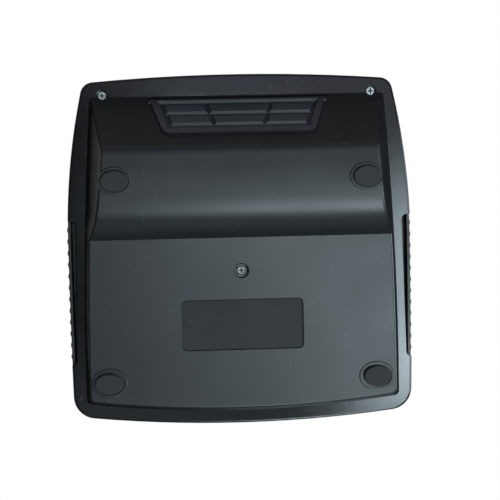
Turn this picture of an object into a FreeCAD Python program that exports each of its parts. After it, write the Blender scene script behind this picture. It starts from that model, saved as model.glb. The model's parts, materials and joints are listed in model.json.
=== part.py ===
import FreeCAD, Part
import math
import os

# A desk calculator that stands on four rubber feet: two moulded shells, a hinged battery cover,
# sprung keys over a rubber mat, and the display, board and cell that the shells enclose.
# Pieces are modelled in the case frame: x to the user's right, y to the rear, z square to the
# keyboard, with the parting plane of the two shells at z = 0. stand_up() then tilts the whole
# case onto its feet, with the table at z = 0. Sizes are in millimetres and degrees.

Vector = FreeCAD.Vector
ALONG_X = Vector(1, 0, 0)
ALONG_Y = Vector(0, 1, 0)
UP = Vector(0, 0, 1)
TOUCH = 0.01

# Case outline in plan
CASE_WIDTH = 152.6
CASE_DEPTH = 155.0
WIDEST_TO_REAR = 72.5
FRONT_EDGE_RADIUS = 580.0
REAR_EDGE_RADIUS = 818.0
SIDE_FRONT_RADIUS = 2850.0
SIDE_REAR_RADIUS = 303.0
FRONT_CORNER_RADIUS = 10.0
REAR_CORNER_RADIUS = 6.0

# Shell walls and the joint between the shells
WALL = 2.0
RIM_DROP = 3.0
RIM_ROUND = 1.0
LIP = 1.2
LIP_HEIGHT = 2.0
LIP_GAP = 0.45

# Underside: raised plate, hump that props up the rear, slope down to the rear rim
STAND_ANGLE = 8.0
PLATE_DROP = 7.5
PLATE_DRAFT = 20.0
PLATE_FRONT_RIM = 5.8
PLATE_SIDE_RIM_FRONT = 5.6
PLATE_SIDE_RIM_MIDDLE = 7.5
PLATE_SIDE_RIM_REAR = 4.6
PLATE_FRONT_RADIUS = 520.0
PLATE_CORNER_RADIUS = 2.5
PLATE_EDGE_ROUND = 1.2
REAR_RIM = 9.3
SLOPE_RUN = 24.3
HUMP_RUN = 38.6
HUMP_RISE_ANGLE = 55.0
HUMP_FRONT_RADIUS = 28.0
RIDGE_ROUND = 5.0

# Feet, each in a recess with a raised bead; the front ones are stuck in a little off the middle
FOOT_LENGTH = 12.2
FOOT_WIDTH = 9.4
FRONT_FOOT_CLEARANCE = 0.8
REAR_FOOT_CLEARANCE = 0.5
RIGHT_FOOT_OFF = (0.5, -0.4)
LEFT_FOOT_OFF = (-0.3, 0.0)
FOOT_BEAD = 1.0
FOOT_BEAD_PROUD = 0.4
FOOT_BEAD_ROUND = 0.35
FOOT_RECESS = 0.8
FOOT_ROUND = 0.5
FRONT_FOOT_PROUD = 1.6
REAR_FOOT_PROUD = 1.0
FRONT_FOOT_TO_FRONT = 19.9
FRONT_FOOT_X = 59.2
REAR_FOOT_TO_RIDGE = 12.8
REAR_FOOT_X = 54.8

# Bare label recess
LABEL_LENGTH = 53.2
LABEL_WIDTH = 21.7
LABEL_CORNER_RADIUS = 2.0
LABEL_DEPTH = 0.5
LABEL_DRAFT = 0.4
LABEL_TO_SCREW = 23.8

# Finger scoops in the side rims, and the grip ribs on the upper shell beside them
SCOOP_TO_FRONT = 27.5
SCOOP_PAST_CREASE = 8.7
SCOOP_DEPTH_REAR = 4.0
SCOOP_DEPTH_FRONT = 2.4
SCOOP_CORNER_RADIUS = 2.5
SCOOP_WALL = 1.2
SCOOP_WALL_HEIGHT = 5.0
GRIP_PITCH = 5.1
GRIP_RIB_RADIUS = 2.4
GRIP_PROUD = 0.4
GRIP_MARGIN = 2.5

# Case screws
SCREW_SHANK = 2.5
SCREW_LENGTH = 6.0
SCREW_HEAD = 4.2
SCREW_HEAD_HEIGHT = 1.6
SCREW_CROSS = 2.4
SCREW_CROSS_WIDTH = 0.6
SCREW_CROSS_DEPTH = 0.8
THREAD_CLEARANCE = 0.05
SCREW_HOLE_CLEARANCE = 0.2
CENTRE_RECESS = 5.7
CENTRE_CHAMFER = 0.5
CENTRE_SCREW_DEPTH = 5.4
CENTRE_SCREW_TO_CREASE = 14.7
CORNER_RECESS = 5.0
CORNER_SCREW_DEPTH = 4.2
CORNER_SCREW_TO_REAR = 6.2
CORNER_SCREW_TO_SIDE = 9.3
SCREW_SEAT = 1.4
WELL_WALL = 0.9
BOSS_WALL = 1.3

# Upper shell
TOP_DRAFT = 8.0
DECK_ROUND = 2.5
DISPLAY_TO_REAR = 55.0
DISPLAY_ANGLE = 9.2
DISPLAY_BLEND_RADIUS = 25.0

# Keys
KEY_COLUMNS = 6
KEY_SIDE_MARGIN = 11.6
KEY_FRONT_MARGIN = 10.6
KEY_GAP_X = 3.8
KEY_GAP_Y = 2.9
FUNCTION_GAP = 8.6
FUNCTION_KEY_WIDTH = 9.5
KEY_TRAVEL = 1.8
KEY_PROUD = 4.0
KEY_TAPER = 0.9
KEY_CORNER_RADIUS = 1.6
KEY_EDGE_ROUND = 0.5
KEY_CLEARANCE = 0.3
KEY_FLANGE = 0.8
KEY_FLANGE_HEIGHT = 1.0
KEY_FLANGE_GAP = 0.1
KEY_WALL = 1.3
KEY_TOP = 1.6
KEY_DISH_RADIUS = 48.0
PLUNGER_RADIUS = 2.4

# Rubber mat and circuit board
MAT_SHEET = 0.9
MAT_MARGIN = 1.0
MAT_TRAVEL_GAP = 0.3
DOME_BASE_RADIUS = 4.2
DOME_TOP_RADIUS = 2.6
DOME_WALL = 0.7
DOME_GAP = 0.05
BOARD = 1.6
BOARD_GAP = 0.5
BOARD_LIFT = 0.3
BOARD_PAST_KEYS = 17.0
BOARD_BOSS_TO_SIDE = 6.8
BOARD_BOSS_RADIUS = 2.4
BOARD_SCREW = 1.6
BOARD_SCREW_LENGTH = 4.2
BOARD_SCREW_HEAD = 3.4
BOARD_SCREW_HEAD_HEIGHT = 1.2
BOARD_HOLE_GAP = 0.5
CHIP_CAP_RADIUS = 9.0
CHIP_CAP_HEIGHT = 1.6
CAPACITOR_RADIUS = 2.0
CAPACITOR_LENGTH = 5.0
CAPACITOR_PITCH = 8.0
CAPACITORS = 2
RESISTOR_LENGTH = 3.2
RESISTOR_WIDTH = 1.6
RESISTOR_HEIGHT = 0.7
RESISTOR_PITCH = 6.0
RESISTORS = 4
BOARD_PARTS_X = 14.0

# Slide switches behind the keys
SWITCH_X = 38.0
SWITCH_TRAVEL = 4.0
KNOB_LENGTH = 5.0
KNOB_WIDTH = 3.0
KNOB_PROUD = 1.6
KNOB_CLEARANCE = 0.3
KNOB_PLATE_WIDTH = 6.4
KNOB_PLATE_OVERLAP = 1.2
SWITCH_BODY_LENGTH = 15.0
SWITCH_BODY_WIDTH = 5.0
SWITCH_GAP = 0.1

# Display
WINDOW_LENGTH = 112.0
WINDOW_WIDTH = 24.0
WINDOW_START = 7.0
WINDOW_THICKNESS = 1.2
WINDOW_LEDGE = 2.2
WINDOW_CORNER_RADIUS = 2.5
OPENING_CORNER_RADIUS = 2.0
WINDOW_CLEARANCE = 0.15
SOLAR_LENGTH = 50.0
SOLAR_WIDTH = 11.0
SOLAR_X = 31.0
SOLAR_GAP = 4.0
SOLAR_CELL = 1.6
LCD_GLASS = 2.2
LCD_GAP = 0.1
LCD_FRAME_WALL = 1.4
LCD_FRAME_BACK = 1.0
LCD_BACK_LEDGE = 4.0
LCD_FRONT_LEDGE = 1.0
LCD_TO_BAY = 0.6
RIBBON = 0.4
RIBBON_WIDTH = 60.0
RIBBON_BOND = 3.0
RIBBON_BEND = 2.0
RIBBON_REACH = 8.0
RIBBON_ROOM = 0.8

# Battery cover on the slope, in the slope's own frame: y from the slope's foot, z inwards
COVER_LENGTH = 20.6
COVER_REAR_WIDTH = 78.2
COVER_FRONT_WIDTH = 66.0
COVER_TO_FOOT = 1.1
COVER_PROUD = 0.7
COVER_THICKNESS = 2.1
COVER_CORNER_RADIUS = 3.5
COVER_CLEARANCE = 0.25
COVER_SEAT = 1.5
COVER_SEAT_WIDTH = 1.8
HINGE_RADIUS = 1.7
HINGE_PIN_RADIUS = 0.7
HINGE_PIN_LENGTH = 2.0
HINGE_CLEARANCE = 0.06
HINGE_ROOM = 0.3
HINGE_EAR = 3.0
LATCH_WIDTH = 12.0
LATCH_DEPTH = 3.0
LATCH_THICKNESS = 1.2
LATCH_ROOM = 0.6
COVER_GROOVE = 2.6
COVER_GROOVE_FLOOR = 0.6
COVER_GROOVE_DEPTH = 0.9
COVER_GROOVE_SIDE = 4.2
COVER_GROOVE_FRONT = 4.0
COVER_GROOVE_REAR = 3.6
COVER_GROOVE_COLUMN_REAR = 14.5
COVER_GROOVE_COLUMN_FRONT = 10.9

# Cell, its bay and its contacts
CELL_RADIUS = 7.15
CELL_LENGTH = 49.3
CELL_NUB_RADIUS = 2.7
CELL_NUB = 1.2
CELL_ROUND = 0.6
CELL_GAP = 0.6
CELL_TO_FOOT = 11.6
BAY_LENGTH = 59.4
BAY_WALL = 1.5
CONTACT = 0.4
CONTACT_SIZE = 9.0
CONTACT_GAP = 0.05
CONTACT_BUMP_RADIUS = 2.5
CONTACT_BUMP = 0.5
SPRING_WIRE = 0.8
SPRING_RADIUS = 4.2
SPRING_TURNS = 4

# Heights and places worked out from the sizes above
FRONT = -CASE_DEPTH / 2
REAR = CASE_DEPTH / 2
WIDEST_Y = REAR - WIDEST_TO_REAR
SLOPE_FOOT_Y = REAR - REAR_RIM
RIDGE_Y = SLOPE_FOOT_Y - SLOPE_RUN
CREASE_Y = RIDGE_Y - HUMP_RUN
REAR_FOOT_Y = RIDGE_Y - REAR_FOOT_TO_RIDGE
FRONT_FOOT_Y = FRONT + FRONT_FOOT_TO_FRONT
CENTRE_SCREW_Y = CREASE_Y - CENTRE_SCREW_TO_CREASE
LABEL_Y = CENTRE_SCREW_Y - LABEL_TO_SCREW
DISPLAY_Y = REAR - DISPLAY_TO_REAR
STAND_SLOPE = math.tan(math.radians(STAND_ANGLE))
TABLE_AT_FRONT_FOOT = -PLATE_DROP - FRONT_FOOT_PROUD
TABLE_AT_REAR_FOOT = TABLE_AT_FRONT_FOOT - (REAR_FOOT_Y - FRONT_FOOT_Y) * STAND_SLOPE
CROWN_AT_REAR_FOOT = TABLE_AT_REAR_FOOT + REAR_FOOT_PROUD
RIDGE_Z = CROWN_AT_REAR_FOOT - (RIDGE_Y - REAR_FOOT_Y) * STAND_SLOPE
SLOPE_ANGLE = math.degrees(math.atan2(-RIM_DROP - RIDGE_Z, SLOPE_RUN))
CELL_Z = -COVER_PROUD + COVER_THICKNESS + CELL_GAP + CELL_RADIUS


def deck_over_keys():
    """The keyboard face's height over the board, the mat and a key's travel."""
    board_top = BOARD_LIFT + BOARD
    flange_top = board_top + MAT_SHEET + MAT_TRAVEL_GAP + KEY_TRAVEL + KEY_FLANGE_HEIGHT
    return flange_top + KEY_FLANGE_GAP + WALL


def deck_over_bay():
    """The keyboard face's height at which the display's back clears the wall round the cell."""
    slope = math.radians(SLOPE_ANGLE)
    tilt = math.radians(DISPLAY_ANGLE)
    axis_y = SLOPE_FOOT_Y - CELL_TO_FOOT * math.cos(slope) - CELL_Z * math.sin(slope)
    axis_z = -RIM_DROP - CELL_TO_FOOT * math.sin(slope) + CELL_Z * math.cos(slope)
    bay = CELL_RADIUS + CELL_GAP + BAY_WALL + LCD_TO_BAY
    display = WALL + LCD_GAP + LCD_GLASS + LCD_FRAME_BACK
    return axis_z + (bay + display - math.sin(tilt) * (axis_y - DISPLAY_Y)) / math.cos(tilt)


DECK_HEIGHT = max(deck_over_keys(), deck_over_bay())
DECK_UNDER = DECK_HEIGHT - WALL
FLANGE_TOP = DECK_UNDER - KEY_FLANGE_GAP
FLANGE_BOTTOM = FLANGE_TOP - KEY_FLANGE_HEIGHT
KEY_TOP_Z = DECK_HEIGHT + KEY_PROUD
MAT_TOP = FLANGE_BOTTOM - KEY_TRAVEL - MAT_TRAVEL_GAP
BOARD_TOP = MAT_TOP - MAT_SHEET
BOARD_BOTTOM = BOARD_TOP - BOARD
CENTRE_SEAT_Z = -PLATE_DROP + CENTRE_SCREW_DEPTH
CORNER_SEAT_Z = -RIM_DROP + CORNER_SCREW_DEPTH
KEYS_HALF_WIDTH = CASE_WIDTH / 2 - KEY_SIDE_MARGIN
KEYS_FRONT = FRONT + KEY_FRONT_MARGIN
NUMBER_ROWS_REAR = CENTRE_SCREW_Y - FUNCTION_GAP / 2
FUNCTION_ROW_FRONT = CENTRE_SCREW_Y + FUNCTION_GAP / 2
KEYS_REAR = FUNCTION_ROW_FRONT + FUNCTION_KEY_WIDTH
KEY_LENGTH = (2 * KEYS_HALF_WIDTH - (KEY_COLUMNS - 1) * KEY_GAP_X) / KEY_COLUMNS
NUMBER_ROWS = 4
KEY_WIDTH = (NUMBER_ROWS_REAR - KEYS_FRONT - (NUMBER_ROWS - 1) * KEY_GAP_Y) / NUMBER_ROWS
SWITCH_Y = (KEYS_REAR + DISPLAY_Y) / 2
BOARD_REAR = KEYS_REAR + BOARD_PAST_KEYS

# Key names by row from the front, then by column from the left
NUMBER_KEYS = [
    ["all_clear", "0", "00", "point", "plus", "equals"],
    ["clear_entry", "1", "2", "3", None, "minus"],
    ["unit_price", "4", "5", "6", "multiply", "divide"],
    ["sign", "7", "8", "9", "percent", "grand_total"],
]
FUNCTION_KEYS = ["backspace", "memory_clear", "memory_recall", "memory_minus", "memory_plus", "root"]
TALL_KEY = "plus"


# Plain shapes

def block(x0, x1, y0, y1, z0, z1):
    return Part.makeBox(x1 - x0, y1 - y0, z1 - z0, Vector(x0, y0, z0))


def rod(radius, x, y, z0, z1):
    return Part.makeCylinder(radius, z1 - z0, Vector(x, y, z0), UP)


def rod_along_x(radius, x0, x1, y, z):
    return Part.makeCylinder(radius, x1 - x0, Vector(x0, y, z), ALONG_X)


def mirrored(shape):
    return shape.mirror(Vector(0, 0, 0), ALONG_X)


def both_sides(shape):
    return [shape, mirrored(shape)]


def arc(start, middle, end):
    return Part.Arc(start, middle, end).toShape()


def line(start, end):
    return Part.LineSegment(start, end).toShape()


def rectangle_wire(length, width, radius, x, y, z):
    """A rectangle with round corners, centred on x, y."""
    dx = length / 2
    dy = width / 2
    cut = radius * (1 - math.sqrt(0.5))
    edges = []
    for sx, sy in ((1, 1), (-1, 1), (-1, -1), (1, -1)):
        along_y = Vector(x + sx * dx, y + sy * (dy - radius), z)
        along_x = Vector(x + sx * (dx - radius), y + sy * dy, z)
        middle = Vector(x + sx * (dx - cut), y + sy * (dy - cut), z)
        corner = (along_y, along_x) if sx * sy > 0 else (along_x, along_y)
        edges.append((corner[0], middle, corner[1]))
    path = []
    for here, following in zip(edges, edges[1:] + edges[:1]):
        path.append(arc(*here))
        path.append(line(here[2], following[0]))
    return Part.Wire(path)


def rounded_block(length, width, radius, x, y, z0, z1):
    face = Part.Face(rectangle_wire(length, width, radius, x, y, z0))
    return face.extrude(Vector(0, 0, z1 - z0))


def oval_block(length, width, x, y, z0, z1):
    ellipse = Part.Ellipse(Vector(x, y, z0), length / 2, width / 2)
    return Part.Face(Part.Wire(ellipse.toShape())).extrude(Vector(0, 0, z1 - z0))


def profile_solid(corners, half_width):
    """A side profile drawn through (y, z, radius) corners and swept across the case."""
    edges = []
    count = len(corners)
    points = [Vector(-half_width, y, z) for y, z, _ in corners]
    previous_end = None
    first_start = None
    for i in range(count):
        here = points[i]
        back = (points[i - 1] - here).normalize()
        ahead = (points[(i + 1) % count] - here).normalize()
        radius = corners[i][2]
        start = here
        end = here
        corner_arc = None
        if radius:
            half_angle = back.getAngle(ahead) / 2
            reach = radius / math.tan(half_angle)
            centre = here + (back + ahead).normalize() * (radius / math.sin(half_angle))
            start = here + back * reach
            end = here + ahead * reach
            middle = centre + (here - centre).normalize() * radius
            corner_arc = arc(start, middle, end)
        if previous_end is None:
            first_start = start
        else:
            edges.append(line(previous_end, start))
        if corner_arc:
            edges.append(corner_arc)
        previous_end = end
    edges.append(line(previous_end, first_start))
    return Part.Face(Part.Wire(edges)).extrude(Vector(2 * half_width, 0, 0))


def edges_where(shape, test):
    return [edge for edge in shape.Edges if test(edge)]


def upright(edge, height):
    """Whether an edge runs the whole height of a solid."""
    return edge.BoundBox.ZLength > height - TOUCH


# Case outline

def bow(distance, radius):
    return radius - math.sqrt(radius * radius - distance * distance)


def side_x(y):
    radius = SIDE_REAR_RADIUS if y > WIDEST_Y else SIDE_FRONT_RADIUS
    return CASE_WIDTH / 2 - bow(y - WIDEST_Y, radius)


def rear_y(x):
    return REAR - bow(x, REAR_EDGE_RADIUS)


def drum(x, y, radius, draft, z0, z1):
    """A round wall of a large radius, which draws in above z = 0 by the draft's slope."""
    foot = Vector(x, y, z0)
    if draft:
        return Part.makeCone(radius - z0 * draft, radius - z1 * draft, z1 - z0, foot, UP)
    return Part.makeCylinder(radius, z1 - z0, foot, UP)


def case_body(inset, draft, z0, z1):
    """Everything inside the case's bowed outline, drawn in by an inset and by the walls' draft."""
    halves = []
    ends = ((FRONT, FRONT + FRONT_EDGE_RADIUS, FRONT_EDGE_RADIUS, SIDE_FRONT_RADIUS),
            (REAR, REAR - REAR_EDGE_RADIUS, REAR_EDGE_RADIUS, SIDE_REAR_RADIUS))
    for end_y, centre_y, end_radius, side_radius in ends:
        low = min(end_y, WIDEST_Y)
        high = max(end_y, WIDEST_Y)
        half = block(-CASE_WIDTH, CASE_WIDTH, low, high, z0, z1)
        half = half.common(drum(0, centre_y, end_radius - inset, draft, z0, z1))
        for side in (-1, 1):
            centre_x = side * (CASE_WIDTH / 2 - side_radius)
            half = half.common(drum(centre_x, WIDEST_Y, side_radius - inset, draft, z0, z1))
        halves.append(half)
    body = halves[0].fuse(halves[1]).removeSplitter()

    front = edges_where(body, lambda edge: upright(edge, z1 - z0) and edge.CenterOfMass.y < FRONT / 2)
    body = body.makeFillet(FRONT_CORNER_RADIUS - inset, front)
    rear = edges_where(body, lambda edge: upright(edge, z1 - z0) and edge.CenterOfMass.y > REAR / 2)
    return body.makeFillet(REAR_CORNER_RADIUS - inset, rear)


# Frames for the sloping faces

def frame_about_x(angle, y, z):
    return FreeCAD.Placement(Vector(0, y, z), FreeCAD.Rotation(ALONG_X, angle))


SLOPE_FRAME = frame_about_x(SLOPE_ANGLE, SLOPE_FOOT_Y, -RIM_DROP)
DISPLAY_FRAME = frame_about_x(DISPLAY_ANGLE, DISPLAY_Y, DECK_HEIGHT)
REAR_FOOT_FRAME = frame_about_x(-STAND_ANGLE, REAR_FOOT_Y, CROWN_AT_REAR_FOOT)
FRONT_TABLE_FRAME = frame_about_x(-STAND_ANGLE, FRONT_FOOT_Y, TABLE_AT_FRONT_FOOT)


def placed(shape, frame):
    moved = shape.copy()
    moved.Placement = frame.multiply(moved.Placement)
    return moved


# Layout shared by the shells and what fits in them

def key_layout():
    """Each key's name, middle and size."""
    keys = []
    for row, names in enumerate(NUMBER_KEYS):
        y = KEYS_FRONT + KEY_WIDTH / 2 + row * (KEY_WIDTH + KEY_GAP_Y)
        for column, name in enumerate(names):
            x = -KEYS_HALF_WIDTH + KEY_LENGTH / 2 + column * (KEY_LENGTH + KEY_GAP_X)
            if name == TALL_KEY:
                tall_y = y + (KEY_WIDTH + KEY_GAP_Y) / 2
                keys.append((name, x, tall_y, KEY_LENGTH, 2 * KEY_WIDTH + KEY_GAP_Y))
            elif name:
                keys.append((name, x, y, KEY_LENGTH, KEY_WIDTH))
    for column, name in enumerate(FUNCTION_KEYS):
        x = -KEYS_HALF_WIDTH + KEY_LENGTH / 2 + column * (KEY_LENGTH + KEY_GAP_X)
        y = (FUNCTION_ROW_FRONT + KEYS_REAR) / 2
        keys.append((name, x, y, KEY_LENGTH, FUNCTION_KEY_WIDTH))
    return keys


KEYS = key_layout()
CORNER_SCREW_X = side_x(REAR - CORNER_SCREW_TO_REAR) - CORNER_SCREW_TO_SIDE
CORNER_SCREW_Y = rear_y(CORNER_SCREW_X) - CORNER_SCREW_TO_REAR
CORNER_SCREWS = [(-CORNER_SCREW_X, CORNER_SCREW_Y), (CORNER_SCREW_X, CORNER_SCREW_Y)]
PILOT_RADIUS = SCREW_SHANK / 2 + THREAD_CLEARANCE
BOSS_RADIUS = PILOT_RADIUS + BOSS_WALL


def board_boss_places():
    rows = (KEYS_FRONT + KEY_WIDTH, CENTRE_SCREW_Y, SWITCH_Y)
    return [(side * (side_x(y) - BOARD_BOSS_TO_SIDE), y) for y in rows for side in (-1, 1)]


BOARD_BOSSES = board_boss_places()
HINGE_Y = -COVER_TO_FOOT - HINGE_RADIUS
HINGE_Z = -COVER_PROUD + HINGE_RADIUS
COVER_INNER = COVER_THICKNESS - COVER_PROUD
COVER_FRONT_Y = -COVER_TO_FOOT - COVER_LENGTH


# Lower shell

def plate_walls(inset, z0, z1):
    """Everything inside the raised plate's drafted front and side walls."""
    slope = -math.tan(math.radians(PLATE_DRAFT))
    grown = inset / math.cos(math.radians(PLATE_DRAFT)) + RIM_DROP * slope
    y_front = FRONT + PLATE_FRONT_RIM
    x_front = side_x(y_front) - PLATE_SIDE_RIM_FRONT
    front = Vector(x_front, y_front + bow(x_front, PLATE_FRONT_RADIUS), 0)
    middle = Vector(side_x(WIDEST_Y) - PLATE_SIDE_RIM_MIDDLE, WIDEST_Y, 0)
    rear = Vector(side_x(SLOPE_FOOT_Y) - PLATE_SIDE_RIM_REAR, SLOPE_FOOT_Y, 0)
    side = Part.Circle(front, middle, rear)
    walls = drum(0, y_front + PLATE_FRONT_RADIUS, PLATE_FRONT_RADIUS - grown, slope, z0, z1)
    for sign in (-1, 1):
        walls = walls.common(drum(sign * side.Center.x, side.Center.y, side.Radius - grown, slope, z0, z1))
    return walls


def hump_corners(inset, top):
    """Side profile of the underside, drawn in by a wall thickness where inset is not zero."""
    rise = math.tan(math.radians(HUMP_RISE_ANGLE))
    tilt = math.radians(STAND_ANGLE)
    slope = math.radians(SLOPE_ANGLE)
    plate_z = -PLATE_DROP + inset
    crease_y = CREASE_Y + inset * math.tan(math.radians(HUMP_RISE_ANGLE / 2))
    crown_at_foot = CROWN_AT_REAR_FOOT + inset / math.cos(tilt)
    top_y = (plate_z + rise * crease_y - crown_at_foot - STAND_SLOPE * REAR_FOOT_Y) / (rise - STAND_SLOPE)
    top_z = crown_at_foot - STAND_SLOPE * (top_y - REAR_FOOT_Y)
    foot_y = SLOPE_FOOT_Y - inset / math.sin(slope)
    fall = math.tan(slope)
    ridge_y = (crown_at_foot + STAND_SLOPE * REAR_FOOT_Y + RIM_DROP + fall * foot_y) / (fall + STAND_SLOPE)
    ridge_z = -RIM_DROP + fall * (ridge_y - foot_y)
    end_y = foot_y + (top + RIM_DROP) / fall
    return [
        (FRONT - WALL, top, 0),
        (FRONT - WALL, plate_z, 0),
        (crease_y, plate_z, 0),
        (top_y, top_z, HUMP_FRONT_RADIUS - inset),
        (ridge_y, ridge_z, RIDGE_ROUND - inset),
        (end_y, top, 0),
    ]


def plate_solid():
    walls = plate_walls(0, RIDGE_Z - WALL, -RIM_DROP)
    solid = walls.common(profile_solid(hump_corners(0, -RIM_DROP), CASE_WIDTH))
    corners = edges_where(solid, lambda edge: edge.CenterOfMass.y < FRONT_FOOT_Y and
                          upright(edge, PLATE_DROP - RIM_DROP))
    solid = solid.makeFillet(PLATE_CORNER_RADIUS, corners)

    def on_top_border(edge):
        box = edge.BoundBox
        across = box.YLength < TOUCH and box.ZLength < TOUCH
        return box.ZMin < -RIM_DROP - TOUCH and not across

    return solid.makeFillet(PLATE_EDGE_ROUND, edges_where(solid, on_top_border))


def cavity_solid():
    above = WALL / 2
    walls = plate_walls(WALL, RIDGE_Z - WALL, above)
    return walls.common(profile_solid(hump_corners(WALL, above), CASE_WIDTH))


def scoop(z0, z1):
    """The space of a finger scoop, open towards the outside of the case."""
    rear_y_end = CREASE_Y + SCOOP_PAST_CREASE
    front_y_end = FRONT + SCOOP_TO_FRONT
    outside = CASE_WIDTH / 2 + WALL
    corners = [
        Vector(outside, rear_y_end, z0),
        Vector(side_x(rear_y_end) - SCOOP_DEPTH_REAR, rear_y_end, z0),
        Vector(side_x(front_y_end) - SCOOP_DEPTH_FRONT, front_y_end, z0),
        Vector(outside, front_y_end, z0),
    ]
    solid = Part.Face(Part.makePolygon(corners + corners[:1])).extrude(Vector(0, 0, z1 - z0))
    inner = edges_where(solid, lambda edge: upright(edge, z1 - z0) and edge.CenterOfMass.x < CASE_WIDTH / 2)
    return solid.makeFillet(SCOOP_CORNER_RADIUS, inner)


def lip_ring():
    outer = WALL + LIP_GAP
    low = -WALL / 2
    ring = case_body(outer, 0, low, LIP_HEIGHT).cut(case_body(outer + LIP, 0, low, LIP_HEIGHT))
    break_at = block(-CASE_WIDTH, CASE_WIDTH, FRONT + SCOOP_TO_FRONT - WALL,
                     CREASE_Y + SCOOP_PAST_CREASE + WALL, -WALL, LIP_HEIGHT + WALL)
    return ring.cut(break_at)


def cover_outline_wire(grow):
    """Plan of the battery cover in the slope's frame, wider towards the slope's foot."""
    rear_y_end = -COVER_TO_FOOT + grow
    front_y_end = COVER_FRONT_Y - grow
    rear = COVER_REAR_WIDTH / 2 + grow
    front = COVER_FRONT_WIDTH / 2 + grow
    points = [Vector(rear, rear_y_end, 0), Vector(-rear, rear_y_end, 0),
              Vector(-front, front_y_end, 0), Vector(front, front_y_end, 0)]
    return Part.makePolygon(points + points[:1])


def cover_block(grow, z0, z1):
    face = Part.Face(cover_outline_wire(grow)).translated(Vector(0, 0, z0))
    solid = face.extrude(Vector(0, 0, z1 - z0))
    corners = edges_where(solid, lambda edge: upright(edge, z1 - z0) and
                          edge.CenterOfMass.y < COVER_FRONT_Y / 2)
    return solid.makeFillet(COVER_CORNER_RADIUS + grow, corners)


def bay_shape(radius, half_length, mouth_z):
    """A trough round the cell that opens towards the cover."""
    trough = rod_along_x(radius, -half_length, half_length, -CELL_TO_FOOT, CELL_Z)
    mouth = block(-half_length, half_length, -CELL_TO_FOOT - radius, -CELL_TO_FOOT + radius,
                  mouth_z, CELL_Z)
    return trough.fuse(mouth)


def bay_walls():
    seat = cover_block(COVER_SEAT_WIDTH, 0, COVER_INNER + COVER_SEAT)
    trough = bay_shape(CELL_RADIUS + CELL_GAP + BAY_WALL, BAY_LENGTH / 2 + BAY_WALL, WALL / 2)
    half_rail = COVER_REAR_WIDTH / 2 + COVER_CLEARANCE + HINGE_PIN_LENGTH + HINGE_EAR
    rail_depth = HINGE_Z + HINGE_RADIUS + HINGE_ROOM + COVER_SEAT
    rail = block(-half_rail, half_rail, HINGE_Y - HINGE_RADIUS - COVER_SEAT, 0, 0, rail_depth)
    return placed(seat.fuse([trough, rail]), SLOPE_FRAME)


def bay_cuts():
    seat = cover_block(COVER_CLEARANCE, -COVER_PROUD - WALL, COVER_INNER + HINGE_CLEARANCE)
    trough = bay_shape(CELL_RADIUS + CELL_GAP, BAY_LENGTH / 2, 0)
    half_rail = COVER_REAR_WIDTH / 2 + COVER_CLEARANCE
    channel = rod_along_x(HINGE_RADIUS + HINGE_ROOM, -half_rail, half_rail, HINGE_Y, HINGE_Z)
    pin_reach = half_rail + HINGE_PIN_LENGTH
    pins = rod_along_x(HINGE_PIN_RADIUS + HINGE_CLEARANCE, -pin_reach, pin_reach, HINGE_Y, HINGE_Z)
    latch_half = LATCH_WIDTH / 2 + LATCH_ROOM
    latch_y = COVER_FRONT_Y + LATCH_ROOM
    latch = block(-latch_half, latch_half, latch_y - LATCH_ROOM, latch_y + LATCH_THICKNESS + BAY_WALL,
                  0, COVER_INNER + LATCH_DEPTH + LATCH_ROOM)
    return placed(seat.fuse([trough, channel, pins, latch]), SLOPE_FRAME)


FRONT_FOOT_FRAME = FreeCAD.Placement(Vector(0, FRONT_FOOT_Y, -PLATE_DROP), FreeCAD.Rotation())


def foot_rings(border, z0, z1):
    """An oval round each foot, wider than its recess by a border, with z measured from the face around it."""
    rings = []
    for frame, x, clearance in ((FRONT_FOOT_FRAME, FRONT_FOOT_X, FRONT_FOOT_CLEARANCE),
                                (REAR_FOOT_FRAME, REAR_FOOT_X, REAR_FOOT_CLEARANCE)):
        grow = 2 * (clearance + border)
        ring = oval_block(FOOT_LENGTH + grow, FOOT_WIDTH + grow, x, 0, z0, z1)
        rings += both_sides(placed(ring, frame))
    return rings


def foot_beads():
    beads = []
    for ring in foot_rings(FOOT_BEAD, -FOOT_BEAD_PROUD, FOOT_BEAD_PROUD):
        lowest = min(ring.Faces, key=lambda face: face.CenterOfMass.z)
        beads.append(ring.makeFillet(FOOT_BEAD_ROUND, lowest.Edges))
    return beads


def label_recess():
    mouth = rectangle_wire(LABEL_LENGTH + 2 * LABEL_DRAFT, LABEL_WIDTH + 2 * LABEL_DRAFT,
                           LABEL_CORNER_RADIUS + LABEL_DRAFT, 0, LABEL_Y, -PLATE_DROP)
    floor = rectangle_wire(LABEL_LENGTH, LABEL_WIDTH, LABEL_CORNER_RADIUS, 0, LABEL_Y, -PLATE_DROP + LABEL_DEPTH)
    return Part.makeLoft([mouth, floor], True, True)


def screw_wells():
    wells = [rod(CENTRE_RECESS / 2 + WELL_WALL, 0, CENTRE_SCREW_Y, -PLATE_DROP, CENTRE_SEAT_Z + SCREW_SEAT)]
    for x, y in CORNER_SCREWS:
        wells.append(rod(CORNER_RECESS / 2 + WELL_WALL, x, y, -RIM_DROP, CORNER_SEAT_Z + SCREW_SEAT))
    return wells


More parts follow.
